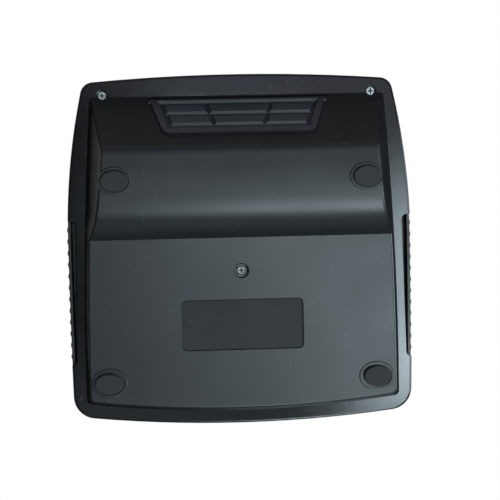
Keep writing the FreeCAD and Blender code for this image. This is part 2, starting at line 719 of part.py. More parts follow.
def screw_cuts():
    through = SCREW_SHANK / 2 + SCREW_HOLE_CLEARANCE
    cuts = [rod(CENTRE_RECESS / 2, 0, CENTRE_SCREW_Y, -PLATE_DROP - WALL, CENTRE_SEAT_Z)]
    cuts.append(Part.makeCone(CENTRE_RECESS / 2 + CENTRE_CHAMFER, CENTRE_RECESS / 2, CENTRE_CHAMFER,
                              Vector(0, CENTRE_SCREW_Y, -PLATE_DROP), UP))
    cuts.append(rod(through, 0, CENTRE_SCREW_Y, -PLATE_DROP, DECK_HEIGHT))
    for x, y in CORNER_SCREWS:
        cuts.append(rod(CORNER_RECESS / 2, x, y, -RIM_DROP - WALL, CORNER_SEAT_Z))
        cuts.append(rod(through, x, y, -RIM_DROP, DECK_HEIGHT))
    return cuts


def board_screw_reliefs():
    """Pockets in the rim for the heads of the screws that hold the board."""
    radius = BOARD_SCREW_HEAD / 2 + BOARD_HOLE_GAP
    return [rod(radius, x, y, BOARD_BOTTOM - BOARD_SCREW_HEAD_HEIGHT - BOARD_HOLE_GAP, BOARD_BOTTOM)
            for x, y in BOARD_BOSSES]


def make_bottom_case():
    rim = case_body(0, 0, -RIM_DROP, 0)
    rim = rim.makeFillet(RIM_ROUND, edges_where(rim, lambda edge: edge.BoundBox.ZMax < -RIM_DROP + TOUCH))
    rim = rim.cut(both_sides(scoop(-RIM_DROP, 0)))
    shell = rim.fuse(plate_solid()).cut(cavity_solid())
    shell = shell.fuse([lip_ring(), bay_walls()] + screw_wells())
    shell = shell.fuse([bead.common(plate_walls(0, RIDGE_Z - WALL, -RIM_DROP)) for bead in foot_beads()])
    recesses = foot_rings(0, -WALL, FOOT_RECESS)
    cuts = [bay_cuts(), label_recess()] + recesses + screw_cuts() + board_screw_reliefs()
    return shell.cut(cuts).removeSplitter()


# Battery cover, cell and contacts

def groove(start, end):
    """A straight groove with sloping sides and ends, drawn out a little past the cover's outer face."""
    run = end - start
    outside = COVER_GROOVE_DEPTH / 4
    spread = (COVER_GROOVE - COVER_GROOVE_FLOOR) / COVER_GROOVE_DEPTH

    def ring(width, z):
        a, b = -width / 2, run.Length + width / 2
        points = [Vector(a, -width / 2, z), Vector(b, -width / 2, z),
                  Vector(b, width / 2, z), Vector(a, width / 2, z)]
        return Part.makePolygon(points + points[:1])

    top = ring(COVER_GROOVE + outside * spread, -COVER_PROUD - outside)
    floor = ring(COVER_GROOVE_FLOOR, -COVER_PROUD + COVER_GROOVE_DEPTH)
    solid = Part.makeLoft([top, floor], True, True)
    angle = math.degrees(math.atan2(run.y, run.x))
    return placed(solid, FreeCAD.Placement(start, FreeCAD.Rotation(UP, angle)))


def cover_grooves():
    rear_y_end = HINGE_Y - COVER_GROOVE_REAR + HINGE_RADIUS
    front_y_end = COVER_FRONT_Y + COVER_GROOVE_FRONT
    middle_y = (rear_y_end + front_y_end) / 2

    def border_x(y):
        share = (-COVER_TO_FOOT - y) / COVER_LENGTH
        return (COVER_REAR_WIDTH * (1 - share) + COVER_FRONT_WIDTH * share) / 2 - COVER_GROOVE_SIDE

    bars = []
    for y in (rear_y_end, middle_y, front_y_end):
        bars.append((Vector(-border_x(y), y, 0), Vector(border_x(y), y, 0)))
    for side in (-1, 1):
        bars.append((Vector(side * border_x(rear_y_end), rear_y_end, 0),
                     Vector(side * border_x(front_y_end), front_y_end, 0)))
        bars.append((Vector(side * COVER_GROOVE_COLUMN_REAR, rear_y_end, 0),
                     Vector(side * COVER_GROOVE_COLUMN_FRONT, front_y_end, 0)))
    return [groove(start, end) for start, end in bars]


def make_battery_cover():
    plate = cover_block(0, -COVER_PROUD, COVER_INNER)
    plate = plate.cut(block(-CASE_WIDTH, CASE_WIDTH, HINGE_Y, 0, -WALL, COVER_THICKNESS))
    half = COVER_REAR_WIDTH / 2
    barrel = rod_along_x(HINGE_RADIUS, -half, half, HINGE_Y, HINGE_Z)
    reach = half + COVER_CLEARANCE + HINGE_PIN_LENGTH - HINGE_CLEARANCE
    pins = rod_along_x(HINGE_PIN_RADIUS, -reach, reach, HINGE_Y, HINGE_Z)
    latch_y = COVER_FRONT_Y + LATCH_ROOM
    latch = block(-LATCH_WIDTH / 2, LATCH_WIDTH / 2, latch_y, latch_y + LATCH_THICKNESS,
                  0, COVER_INNER + LATCH_DEPTH)
    cover = plate.fuse([barrel, pins, latch]).cut(cover_grooves()).removeSplitter()
    return placed(cover, SLOPE_FRAME)


CELL_PLUS_X = BAY_LENGTH / 2 - CONTACT_GAP - CONTACT - CONTACT_BUMP - CONTACT_GAP
CELL_MINUS_X = CELL_PLUS_X - CELL_NUB - CELL_LENGTH


def make_battery_cell():
    can = rod_along_x(CELL_RADIUS, CELL_MINUS_X, CELL_MINUS_X + CELL_LENGTH, -CELL_TO_FOOT, CELL_Z)
    can = can.makeFillet(CELL_ROUND, edges_where(can, lambda edge: edge.BoundBox.XLength < TOUCH))
    nub_x = CELL_PLUS_X - CELL_NUB - CELL_ROUND
    nub = rod_along_x(CELL_NUB_RADIUS, nub_x, CELL_PLUS_X, -CELL_TO_FOOT, CELL_Z)
    return placed(can.fuse(nub), SLOPE_FRAME)


def contact_plate(x0, x1):
    half = CONTACT_SIZE / 2
    return block(x0, x1, -CELL_TO_FOOT - half, -CELL_TO_FOOT + half, CELL_Z - half, CELL_Z + half)


def make_contact_plus():
    x1 = BAY_LENGTH / 2 - CONTACT_GAP
    plate = contact_plate(x1 - CONTACT, x1)
    bump = rod_along_x(CONTACT_BUMP_RADIUS, x1 - CONTACT - CONTACT_BUMP, x1, -CELL_TO_FOOT, CELL_Z)
    return placed(plate.fuse(bump), SLOPE_FRAME)


def make_contact_minus():
    x0 = -BAY_LENGTH / 2 + CONTACT_GAP
    return placed(contact_plate(x0, x0 + CONTACT), SLOPE_FRAME)


def arc_from(start, tangent, end):
    """The arc that leaves start along tangent and ends at end."""
    chord = end - start
    along = Vector(chord).normalize()
    swing = tangent.getAngle(along)
    across = (tangent - along * tangent.dot(along)).normalize()
    middle = start + chord * 0.5 + across * (chord.Length / 2 * math.tan(swing / 2))
    return arc(start, middle, end)


def biarc(start, start_tangent, end, end_tangent):
    """Two tangent arcs between two points with given directions."""
    chord = end - start
    both = start_tangent + end_tangent
    a = 2 * (1 - start_tangent.dot(end_tangent))
    b = 2 * chord.dot(both)
    c = -chord.dot(chord)
    reach = (-b + math.sqrt(b * b - 4 * a * c)) / (2 * a)
    middle = (start + start_tangent * reach + end - end_tangent * reach) * 0.5
    tangent = (end - end_tangent * reach - start - start_tangent * reach).normalize()
    return [arc_from(start, start_tangent, middle), arc_from(middle, tangent, end)]


def make_battery_spring():
    x0 = -BAY_LENGTH / 2 + CONTACT_GAP + CONTACT + SPRING_WIRE / 2
    pitch = (CELL_MINUS_X - CONTACT_GAP - SPRING_WIRE / 2 - x0) / SPRING_TURNS
    climb = pitch / (2 * math.pi)

    def point(angle):
        return Vector(x0 + climb * angle, -CELL_TO_FOOT + SPRING_RADIUS * math.cos(angle),
                      CELL_Z + SPRING_RADIUS * math.sin(angle))

    def tangent(angle):
        return Vector(climb, -SPRING_RADIUS * math.sin(angle), SPRING_RADIUS * math.cos(angle)).normalize()

    quarter = math.pi / 2
    edges = []
    for step in range(4 * SPRING_TURNS):
        here = step * quarter
        ahead = here + quarter
        edges += biarc(point(here), tangent(here), point(ahead), tangent(ahead))
    section = Part.Wire(Part.Circle(point(0), tangent(0), SPRING_WIRE / 2).toShape())
    coil = Part.Wire(edges).makePipeShell([section], True, False)
    gap = pitch * math.cos(math.atan2(climb, SPRING_RADIUS)) - SPRING_WIRE
    print("battery spring gap between turns", round(gap, 2))
    return placed(coil, SLOPE_FRAME)


# Feet and screws

def front_foot(x, off):
    """A foot cut to the table's slant, off the middle of its recess by a small step."""
    foot = oval_block(FOOT_LENGTH, FOOT_WIDTH, x + off[0], FRONT_FOOT_Y + off[1],
                      -2 * PLATE_DROP, -PLATE_DROP + FOOT_RECESS)
    below = block(-CASE_WIDTH, CASE_WIDTH, -CASE_DEPTH, CASE_DEPTH, -CASE_DEPTH, 0)
    foot = foot.cut(placed(below, FRONT_TABLE_FRAME))
    lowest = min(foot.Faces, key=lambda face: face.CenterOfMass.z)
    return foot.makeFillet(FOOT_ROUND, lowest.Edges)


def make_rubber_feet():
    front = [front_foot(FRONT_FOOT_X, RIGHT_FOOT_OFF), front_foot(-FRONT_FOOT_X, LEFT_FOOT_OFF)]
    rear_proud = REAR_FOOT_PROUD * math.cos(math.radians(STAND_ANGLE))
    rear = oval_block(FOOT_LENGTH, FOOT_WIDTH, REAR_FOOT_X, 0, -rear_proud, FOOT_RECESS)
    lowest = min(rear.Faces, key=lambda face: face.CenterOfMass.z)
    rear = rear.makeFillet(FOOT_ROUND, lowest.Edges)
    return Part.makeCompound(front + both_sides(placed(rear, REAR_FOOT_FRAME)))


def screw(x, y, seat_z, shank_radius, length, head_radius, head_height):
    """A pan head below its seat, with a cross recess, and a shank that points up."""
    head = rod(head_radius, x, y, seat_z - head_height, seat_z)
    low = seat_z - head_height
    crown = edges_where(head, lambda edge: edge.BoundBox.ZMax < low + TOUCH)
    head = head.makeFillet(head_height / 3, crown)
    shank = rod(shank_radius, x, y, seat_z, seat_z + length)
    long_half = SCREW_CROSS / 2 * head_radius / (SCREW_HEAD / 2)
    thin_half = SCREW_CROSS_WIDTH / 2
    floor = low + SCREW_CROSS_DEPTH
    slots = [block(x - long_half, x + long_half, y - thin_half, y + thin_half, low, floor),
             block(x - thin_half, x + thin_half, y - long_half, y + long_half, low, floor)]
    return head.fuse(shank).cut(slots)


def make_case_screws():
    places = [(0, CENTRE_SCREW_Y, CENTRE_SEAT_Z)] + [(x, y, CORNER_SEAT_Z) for x, y in CORNER_SCREWS]
    return Part.makeCompound([screw(x, y, z, SCREW_SHANK / 2, SCREW_LENGTH,
                                    SCREW_HEAD / 2, SCREW_HEAD_HEIGHT) for x, y, z in places])


def make_board_screws():
    return Part.makeCompound([screw(x, y, BOARD_BOTTOM, BOARD_SCREW / 2, BOARD_SCREW_LENGTH,
                                    BOARD_SCREW_HEAD / 2, BOARD_SCREW_HEAD_HEIGHT)
                              for x, y in BOARD_BOSSES])


# Upper shell

def top_corners(lower, end_z):
    """Side profile of the keyboard deck and the display face, lowered by a wall where needed."""
    tilt = math.radians(DISPLAY_ANGLE)
    deck = DECK_HEIGHT - lower
    crease = DISPLAY_Y + lower * math.tan(tilt / 2)
    rear_y_end = REAR + CASE_DEPTH / 4
    return [
        (FRONT - CASE_DEPTH / 4, end_z, 0),
        (rear_y_end, end_z, 0),
        (rear_y_end, deck + (rear_y_end - crease) * math.tan(tilt), 0),
        (crease, deck, DISPLAY_BLEND_RADIUS + lower),
        (FRONT - CASE_DEPTH / 4, deck, 0),
    ]


def top_solid(inset, z0):
    draft = math.tan(math.radians(TOP_DRAFT))
    high = DECK_HEIGHT + DISPLAY_TO_REAR * math.tan(math.radians(DISPLAY_ANGLE)) + WALL
    walls = case_body(inset, draft, z0, high)
    return walls.common(profile_solid(top_corners(inset, z0), CASE_WIDTH))


def grip_ribs():
    first = FRONT + SCOOP_TO_FRONT + GRIP_MARGIN
    last = CREASE_Y + SCOOP_PAST_CREASE - GRIP_MARGIN
    count = int((last - first) / GRIP_PITCH) + 1
    start = (first + last - (count - 1) * GRIP_PITCH) / 2
    height = DECK_HEIGHT - DECK_ROUND
    ribs = []
    for i in range(count):
        y = start + i * GRIP_PITCH
        post = rod(GRIP_RIB_RADIUS, 0, 0, 0, height)
        base = Vector(side_x(y) + GRIP_PROUD - GRIP_RIB_RADIUS, y, 0)
        ribs.append(placed(post, FreeCAD.Placement(base, FreeCAD.Rotation(ALONG_Y, -TOP_DRAFT))))
    return ribs


def scoop_thinning():
    """What is taken off the inside of the wall above each finger scoop."""
    inside = case_body(SCOOP_WALL, math.tan(math.radians(TOP_DRAFT)), 0, SCOOP_WALL_HEIGHT)
    return [space.common(inside) for space in both_sides(scoop(0, SCOOP_WALL_HEIGHT))]


def knob_slot():
    length = KNOB_LENGTH + 2 * (SWITCH_TRAVEL + KNOB_CLEARANCE)
    width = KNOB_WIDTH + 2 * KNOB_CLEARANCE
    return [rounded_block(length, width, KNOB_CLEARANCE, x, SWITCH_Y, 0, 2 * DECK_HEIGHT)
            for x in (-SWITCH_X, SWITCH_X)]


WINDOW_Y = WINDOW_START + WINDOW_WIDTH / 2
SOLAR_Y = WINDOW_START + WINDOW_WIDTH + SOLAR_GAP + SOLAR_WIDTH / 2


def window_cuts():
    cuts = []
    for length, width, x, y in ((WINDOW_LENGTH, WINDOW_WIDTH, 0, WINDOW_Y),
                                (SOLAR_LENGTH, SOLAR_WIDTH, SOLAR_X, SOLAR_Y)):
        cuts.append(rounded_block(length, width, WINDOW_CORNER_RADIUS, x, y, -WINDOW_THICKNESS, WALL))
        cuts.append(rounded_block(length - 2 * WINDOW_LEDGE, width - 2 * WINDOW_LEDGE,
                                  OPENING_CORNER_RADIUS, x, y, -2 * WALL, WALL))
    return [placed(cut, DISPLAY_FRAME) for cut in cuts]


def top_bosses():
    high = 3 * DECK_HEIGHT
    bosses = [rod(BOSS_RADIUS, 0, CENTRE_SCREW_Y, CENTRE_SEAT_Z + SCREW_SEAT, DECK_UNDER + WALL / 2)]
    for x, y in CORNER_SCREWS:
        bosses.append(rod(BOSS_RADIUS, x, y, CORNER_SEAT_Z + SCREW_SEAT, high))
    for x, y in BOARD_BOSSES:
        bosses.append(rod(BOARD_BOSS_RADIUS, x, y, BOARD_TOP, DECK_UNDER + WALL / 2))
    return bosses


def boss_pilots():
    reach = SCREW_LENGTH + SCREW_SEAT / 2
    pilots = [rod(PILOT_RADIUS, 0, CENTRE_SCREW_Y, -PLATE_DROP, CENTRE_SEAT_Z + reach)]
    for x, y in CORNER_SCREWS:
        pilots.append(rod(PILOT_RADIUS, x, y, 0, CORNER_SEAT_Z + reach))
    for x, y in BOARD_BOSSES:
        pilot_top = BOARD_BOTTOM + BOARD_SCREW_LENGTH + THREAD_CLEARANCE
        pilots.append(rod(BOARD_SCREW / 2 + THREAD_CLEARANCE, x, y, 0, pilot_top))
    return pilots


def make_top_case():
    outer = top_solid(0, 0)

    def on_top_border(edge):
        box = edge.BoundBox
        across = box.YLength < TOUCH and box.ZLength < TOUCH
        return box.ZMin > DECK_HEIGHT - TOUCH and not across

    rounded = outer.makeFillet(DECK_ROUND, edges_where(outer, on_top_border))
    ribs = grip_ribs()
    shell = rounded.fuse(ribs + [mirrored(post) for post in ribs]).cut(top_solid(WALL, -WALL))
    bosses = [boss.common(outer) if boss.BoundBox.ZMax > DECK_HEIGHT else boss for boss in top_bosses()]
    shell = shell.fuse(bosses)
    gap = 2 * KEY_CLEARANCE
    holes = [rounded_block(length + gap, width + gap, KEY_CORNER_RADIUS + KEY_CLEARANCE, x, y,
                           DECK_UNDER - WALL / 2, DECK_HEIGHT + WALL) for _, x, y, length, width in KEYS]
    below = block(-CASE_WIDTH, CASE_WIDTH, -CASE_DEPTH, CASE_DEPTH, -CASE_DEPTH, 0)
    side_trim = below.cut(rod(BOSS_RADIUS, 0, CENTRE_SCREW_Y, -CASE_DEPTH, 0))
    cuts = holes + knob_slot() + window_cuts() + boss_pilots() + scoop_thinning() + [side_trim]
    return shell.cut(cuts).removeSplitter()


# Keys, mat and board

def make_key(x, y, length, width):
    skirt = rectangle_wire(length, width, KEY_CORNER_RADIUS, x, y, FLANGE_BOTTOM)
    taper = 2 * KEY_TAPER
    crown = rectangle_wire(length - taper, width - taper, KEY_CORNER_RADIUS, x, y, KEY_TOP_Z)
    cap = Part.makeLoft([skirt, crown], True, True)
    dish_depth = bow(length / 2 - KEY_TAPER, KEY_DISH_RADIUS)
    dish_end = Vector(x, y - width, KEY_TOP_Z - dish_depth + KEY_DISH_RADIUS)
    cap = cap.cut(Part.makeCylinder(KEY_DISH_RADIUS, 2 * width, dish_end, ALONG_Y))
    rim = edges_where(cap, lambda edge: edge.BoundBox.ZMin > KEY_TOP_Z - dish_depth - TOUCH)
    cap = cap.makeFillet(KEY_EDGE_ROUND, rim)
    flange = rounded_block(length + 2 * KEY_FLANGE, width + 2 * KEY_FLANGE, KEY_CORNER_RADIUS, x, y,
                           FLANGE_BOTTOM, FLANGE_TOP)
    hollow_top = KEY_TOP_Z - dish_depth - KEY_TOP
    half_length = length / 2 - KEY_WALL - KEY_TAPER
    half_width = width / 2 - KEY_WALL - KEY_TAPER
    hollow = block(x - half_length, x + half_length, y - half_width, y + half_width,
                   FLANGE_BOTTOM, hollow_top)
    plunger = rod(PLUNGER_RADIUS, x, y, FLANGE_BOTTOM, hollow_top + KEY_TOP / 2)
    return cap.fuse(flange).cut(hollow).fuse(plunger).removeSplitter()


def make_keypad_mat():
    half_width = KEYS_HALF_WIDTH + MAT_MARGIN
    sheet = block(-half_width, half_width, KEYS_FRONT, KEYS_REAR, BOARD_TOP, MAT_TOP)
    high = FLANGE_BOTTOM - DOME_GAP - MAT_TOP
    domes = []
    hollows = []
    for _, x, y, _, _ in KEYS:
        domes.append(Part.makeCone(DOME_BASE_RADIUS, DOME_TOP_RADIUS, high, Vector(x, y, MAT_TOP), UP))
        hollows.append(Part.makeCone(DOME_BASE_RADIUS - DOME_WALL, DOME_TOP_RADIUS - DOME_WALL,
                                     MAT_SHEET + high - 2 * DOME_WALL, Vector(x, y, BOARD_TOP), UP))
    boss_hole = rod(BOSS_RADIUS + BOARD_HOLE_GAP, 0, CENTRE_SCREW_Y, BOARD_TOP, MAT_TOP)
    return sheet.fuse(domes).cut(hollows + [boss_hole])


def make_main_board():
    inset = WALL + LIP_GAP + LIP + BOARD_GAP
    board = case_body(inset, 0, BOARD_BOTTOM, BOARD_TOP)
    board = board.common(block(-CASE_WIDTH, CASE_WIDTH, FRONT, BOARD_REAR, BOARD_BOTTOM, BOARD_TOP))
    holes = [rod(BOSS_RADIUS + BOARD_HOLE_GAP, 0, CENTRE_SCREW_Y, BOARD_BOTTOM, BOARD_TOP)]
    for x, y in BOARD_BOSSES:
        holes.append(rod(BOARD_SCREW / 2 + BOARD_HOLE_GAP / 2, x, y, BOARD_BOTTOM, BOARD_TOP))
    return board.cut(holes)


def make_chip_blob():
    """Epoxy cap over the chip, under the board."""
    radius = CHIP_CAP_RADIUS
    low = BOARD_BOTTOM - CHIP_CAP_HEIGHT
    dome_radius = (radius * radius + CHIP_CAP_HEIGHT * CHIP_CAP_HEIGHT) / (2 * CHIP_CAP_HEIGHT)
    ball = Part.makeSphere(dome_radius, Vector(0, LABEL_Y, low + dome_radius))
    return ball.common(block(-radius, radius, LABEL_Y - radius, LABEL_Y + radius, low, BOARD_BOTTOM))


def make_board_parts():
    """Capacitors to the left of the centre boss and chip resistors to its right, under the board."""
    parts = []
    y = CENTRE_SCREW_Y
    for i in range(CAPACITORS):
        x = -BOARD_PARTS_X - i * CAPACITOR_PITCH
        parts.append(rod_along_x(CAPACITOR_RADIUS, x - CAPACITOR_LENGTH, x,
                                 y, BOARD_BOTTOM - CAPACITOR_RADIUS))
    for i in range(RESISTORS):
        x = BOARD_PARTS_X + i * RESISTOR_PITCH
        parts.append(block(x, x + RESISTOR_LENGTH, y, y + RESISTOR_WIDTH,
                           BOARD_BOTTOM - RESISTOR_HEIGHT, BOARD_BOTTOM))
    return Part.makeCompound(parts)


# Slide switches

def make_switch_knob(x):
    plate_length = KNOB_LENGTH + 2 * (2 * SWITCH_TRAVEL + KNOB_CLEARANCE + KNOB_PLATE_OVERLAP)
    plate = block(x - plate_length / 2, x + plate_length / 2, SWITCH_Y - KNOB_PLATE_WIDTH / 2,
                  SWITCH_Y + KNOB_PLATE_WIDTH / 2, FLANGE_BOTTOM, FLANGE_TOP)
    grip = block(x - KNOB_LENGTH / 2, x + KNOB_LENGTH / 2,
                 SWITCH_Y - KNOB_WIDTH / 2, SWITCH_Y + KNOB_WIDTH / 2,
                 FLANGE_BOTTOM, DECK_HEIGHT + KNOB_PROUD)
    crown = edges_where(grip, lambda edge: edge.BoundBox.ZMin > DECK_HEIGHT)
    grip = grip.makeFillet(KEY_EDGE_ROUND, crown)
    return plate.fuse(grip).removeSplitter()


def make_switch_bodies():
    half = SWITCH_BODY_LENGTH / 2
    front = SWITCH_Y - SWITCH_BODY_WIDTH / 2
    rear = SWITCH_Y + SWITCH_BODY_WIDTH / 2
    return Part.makeCompound([block(x - half, x + half, front, rear, BOARD_TOP, FLANGE_BOTTOM - SWITCH_GAP)
                              for x in (-SWITCH_X, SWITCH_X)])


# Display

def window_pane(length, width, x, y):
    pane = rounded_block(length - 2 * WINDOW_CLEARANCE, width - 2 * WINDOW_CLEARANCE,
                         WINDOW_CORNER_RADIUS - WINDOW_CLEARANCE, x, y, -WINDOW_THICKNESS, 0)
    return placed(pane, DISPLAY_FRAME)


GLASS_LENGTH = WINDOW_LENGTH
GLASS_TOP = -WALL - LCD_GAP
GLASS_BOTTOM = GLASS_TOP - LCD_GLASS


def make_lcd_glass():
    half_length = GLASS_LENGTH / 2
    half_width = WINDOW_WIDTH / 2
    lower = block(-half_length, half_length, WINDOW_Y - half_width, WINDOW_Y + half_width,
                  GLASS_BOTTOM, GLASS_BOTTOM + LCD_GLASS / 2)
    upper = block(-half_length, half_length, WINDOW_Y - half_width + RIBBON_BOND, WINDOW_Y + half_width,
                  GLASS_BOTTOM, GLASS_TOP)
    return placed(lower.fuse(upper).removeSplitter(), DISPLAY_FRAME)


def make_lcd_frame():
    half_length = GLASS_LENGTH / 2 + LCD_GAP
    half_width = WINDOW_WIDTH / 2 + LCD_GAP
    front = WINDOW_Y - half_width
    rear = WINDOW_Y + half_width
    low = GLASS_BOTTOM - LCD_FRAME_BACK
    tray = block(-half_length - LCD_FRAME_WALL, half_length + LCD_FRAME_WALL,
                 front - LCD_FRAME_WALL, rear + LCD_FRAME_WALL, low, -WALL)
    pocket = block(-half_length, half_length, front, rear, GLASS_BOTTOM, 0)
    back = block(-half_length + LCD_BACK_LEDGE, half_length - LCD_BACK_LEDGE,
                 front + LCD_FRONT_LEDGE, rear - LCD_BACK_LEDGE, low, 0)
    return placed(tray.cut([pocket, back]), DISPLAY_FRAME)


def bent_path(points, radius):
    """Straight runs through the points, with an arc of the given radius at each turn."""
    edges = []
    here = points[0]
    for before, corner, after in zip(points, points[1:], points[2:]):
        back = (before - corner).normalize()
        ahead = (after - corner).normalize()
        half_angle = back.getAngle(ahead) / 2
        reach = radius / math.tan(half_angle)
        centre = corner + (back + ahead).normalize() * (radius / math.sin(half_angle))
        middle = centre + (corner - centre).normalize() * radius
        edges.append(line(here, corner + back * reach))
        edges.append(arc(corner + back * reach, middle, corner + ahead * reach))
        here = corner + ahead * reach
    edges.append(line(here, points[-1]))
    return Part.Wire(edges)


def make_lcd_ribbon():
    """Flat cable from the underside of the glass, below the front wall of the tray, to the board."""
    wall_y = WINDOW_Y - WINDOW_WIDTH / 2 - LCD_GAP - LCD_FRAME_WALL / 2
    bond_y = wall_y + RIBBON_REACH
    board_z = BOARD_TOP + RIBBON / 2
    start = Vector(0, BOARD_REAR - 2 * RIBBON_BOND, board_z)
    points = [
        start,
        Vector(0, BOARD_REAR - RIBBON_BOND / 2, board_z),
        DISPLAY_FRAME.multVec(Vector(0, wall_y, GLASS_BOTTOM - LCD_FRAME_BACK - RIBBON_ROOM)),
        DISPLAY_FRAME.multVec(Vector(0, bond_y, GLASS_BOTTOM - RIBBON / 2)),
        DISPLAY_FRAME.multVec(Vector(0, bond_y + RIBBON_BOND, GLASS_BOTTOM - RIBBON / 2)),
    ]
    half = RIBBON_WIDTH / 2
    low = BOARD_TOP
    high = BOARD_TOP + RIBBON
    places = ((-half, low), (half, low), (half, high), (-half, high))
    corners = [Vector(x, start.y, z) for x, z in places]
    section = Part.makePolygon(corners + corners[:1])
    return bent_path(points, RIBBON_BEND).makePipeShell([section], True, False)


def make_solar_cell():
    length = SOLAR_LENGTH - 2 * WINDOW_CLEARANCE
    width = SOLAR_WIDTH - 2 * WINDOW_CLEARANCE
    cell = block(SOLAR_X - length / 2, SOLAR_X + length / 2, SOLAR_Y - width / 2, SOLAR_Y + width / 2,
                 -WALL - SOLAR_CELL, -WALL)
    return placed(cell, DISPLAY_FRAME)


# The whole calculator

def build_pieces():
    pieces = {
        "bottom_case": make_bottom_case(),
        "top_case": make_top_case(),
        "battery_cover": make_battery_cover(),
        "battery_cell": make_battery_cell(),
        "battery_spring": make_battery_spring(),
        "battery_contact_plus": make_contact_plus(),
        "battery_contact_minus": make_contact_minus(),
        "rubber_feet": make_rubber_feet(),
        "case_screws": make_case_screws(),
        "board_screws": make_board_screws(),
        "keypad_mat": make_keypad_mat(),
        "main_board": make_main_board(),
        "chip_blob": make_chip_blob(),
        "board_parts": make_board_parts(),
        "switch_bodies": make_switch_bodies(),
        "rounding_knob": make_switch_knob(-SWITCH_X),
        "decimal_knob": make_switch_knob(SWITCH_X),
        "display_window": window_pane(WINDOW_LENGTH, WINDOW_WIDTH, 0, WINDOW_Y),
        "solar_window": window_pane(SOLAR_LENGTH, SOLAR_WIDTH, SOLAR_X, SOLAR_Y),
        "solar_cell": make_solar_cell(),
        "lcd_glass": make_lcd_glass(),
        "lcd_frame": make_lcd_frame(),
        "lcd_ribbon": make_lcd_ribbon(),
    }
    for name, x, y, length, width in KEYS:
        pieces["key_" + name] = make_key(x, y, length, width)
    return pieces


def stand_up(pieces):
    """Tilts the case onto its feet, puts the table at z = 0 and the middle of the plan at the origin."""
    tilt = FreeCAD.Placement(Vector(0, 0, 0), FreeCAD.Rotation(ALONG_X, STAND_ANGLE))
    foot = tilt.multVec(Vector(0, FRONT_FOOT_Y, TABLE_AT_FRONT_FOOT))
    shells = Part.makeCompound([placed(pieces["bottom_case"], tilt), placed(pieces["top_case"], tilt)])
    box = shells.optimalBoundingBox(False, False)
    shift = FreeCAD.Placement(Vector(0, -(box.YMin + box.YMax) / 2, -foot.z), FreeCAD.Rotation())
    return shift.multiply(tilt)


PIECES = build_pieces()
STAND = stand_up(PIECES)
os.makedirs("parts", exist_ok=True)
for name, shape in PIECES.items():
    placed(shape, STAND).exportStep("parts/" + name + ".step")
print(len(PIECES), "pieces, stand at", STAND)
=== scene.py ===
# %% [markdown]
# A desk calculator seen from below
#
# The imported model holds every piece at its real size, so this lesson gives each surface its look. It adds
# only what the solids leave open: a coil spring, the mat's domes as pieces of their own, printed legends and
# the display's digits. The photograph looks straight at the underside, so the camera hangs below the table
# plane and looks up. Lengths are in metres, +Z is up, +Y is the rear edge with the display, and +X is the
# user's right.

# %% Load the imported model
import bpy
import bmesh
import json
import math
from mathutils import Matrix, Vector
from mathutils.bvhtree import BVHTree


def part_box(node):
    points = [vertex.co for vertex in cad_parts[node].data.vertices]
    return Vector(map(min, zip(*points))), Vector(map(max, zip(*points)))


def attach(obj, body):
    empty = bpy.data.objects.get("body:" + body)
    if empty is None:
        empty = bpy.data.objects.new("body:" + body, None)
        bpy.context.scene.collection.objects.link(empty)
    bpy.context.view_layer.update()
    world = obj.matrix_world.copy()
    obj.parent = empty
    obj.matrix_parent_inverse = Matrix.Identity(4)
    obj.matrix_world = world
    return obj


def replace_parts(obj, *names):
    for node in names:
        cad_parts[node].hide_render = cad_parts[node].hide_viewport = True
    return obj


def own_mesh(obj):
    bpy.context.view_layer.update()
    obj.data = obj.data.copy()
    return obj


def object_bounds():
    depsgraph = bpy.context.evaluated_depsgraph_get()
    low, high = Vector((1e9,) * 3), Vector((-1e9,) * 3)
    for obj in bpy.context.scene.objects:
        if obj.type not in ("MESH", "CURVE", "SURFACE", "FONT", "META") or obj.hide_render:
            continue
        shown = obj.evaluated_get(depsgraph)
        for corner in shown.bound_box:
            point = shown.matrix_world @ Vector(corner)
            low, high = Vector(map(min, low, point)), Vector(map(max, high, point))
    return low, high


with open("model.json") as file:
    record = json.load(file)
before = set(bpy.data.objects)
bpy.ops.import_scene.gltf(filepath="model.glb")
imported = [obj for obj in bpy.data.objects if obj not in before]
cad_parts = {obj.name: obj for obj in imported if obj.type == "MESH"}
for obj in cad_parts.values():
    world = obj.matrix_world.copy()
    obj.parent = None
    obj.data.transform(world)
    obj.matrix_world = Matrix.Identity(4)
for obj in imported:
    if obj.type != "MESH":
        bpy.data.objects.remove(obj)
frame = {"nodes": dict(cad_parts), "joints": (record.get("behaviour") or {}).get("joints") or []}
nodes = frame["nodes"]
cad_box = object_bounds()
scene = bpy.context.scene
MM = 0.001
print(len(nodes), "nodes in a box of", [round(v / MM, 1) for v in cad_box[1] - cad_box[0]], "mm")

# %% [markdown]
# The case stands tilted on its feet. The angle could be typed in, but the joints already hold it: the keys
# travel square to the keyboard, so the direction in which a key is pressed tells how far the case leans.
# One turn about X takes deck coordinates, in which the keyboard lies level, to the shared frame.

# %% Find the tilt of the keyboard deck
press = next(joint for joint in frame["joints"] if joint["name"] == "key_5_press")
press_axis = Vector(press["axis"])
deck_tilt = math.atan2(press_axis.y, -press_axis.z)
deck_to_world = Matrix.Rotation(deck_tilt, 4, "X")
world_to_deck = deck_to_world.inverted()
deck_up = deck_to_world.to_3x3() @ Vector((0, 0, 1))
print("keyboard deck leans", round(math.degrees(deck_tilt), 2), "degrees")

# %% [markdown]
# The camera looks up at the plate, with the rear edge at the top of the picture. A constraint that only
# aims it would leave the roll open, so it is turned in steps: a half turn about Y points it upwards, and
# three small turns give the lean, the swing and the roll that the photograph shows.

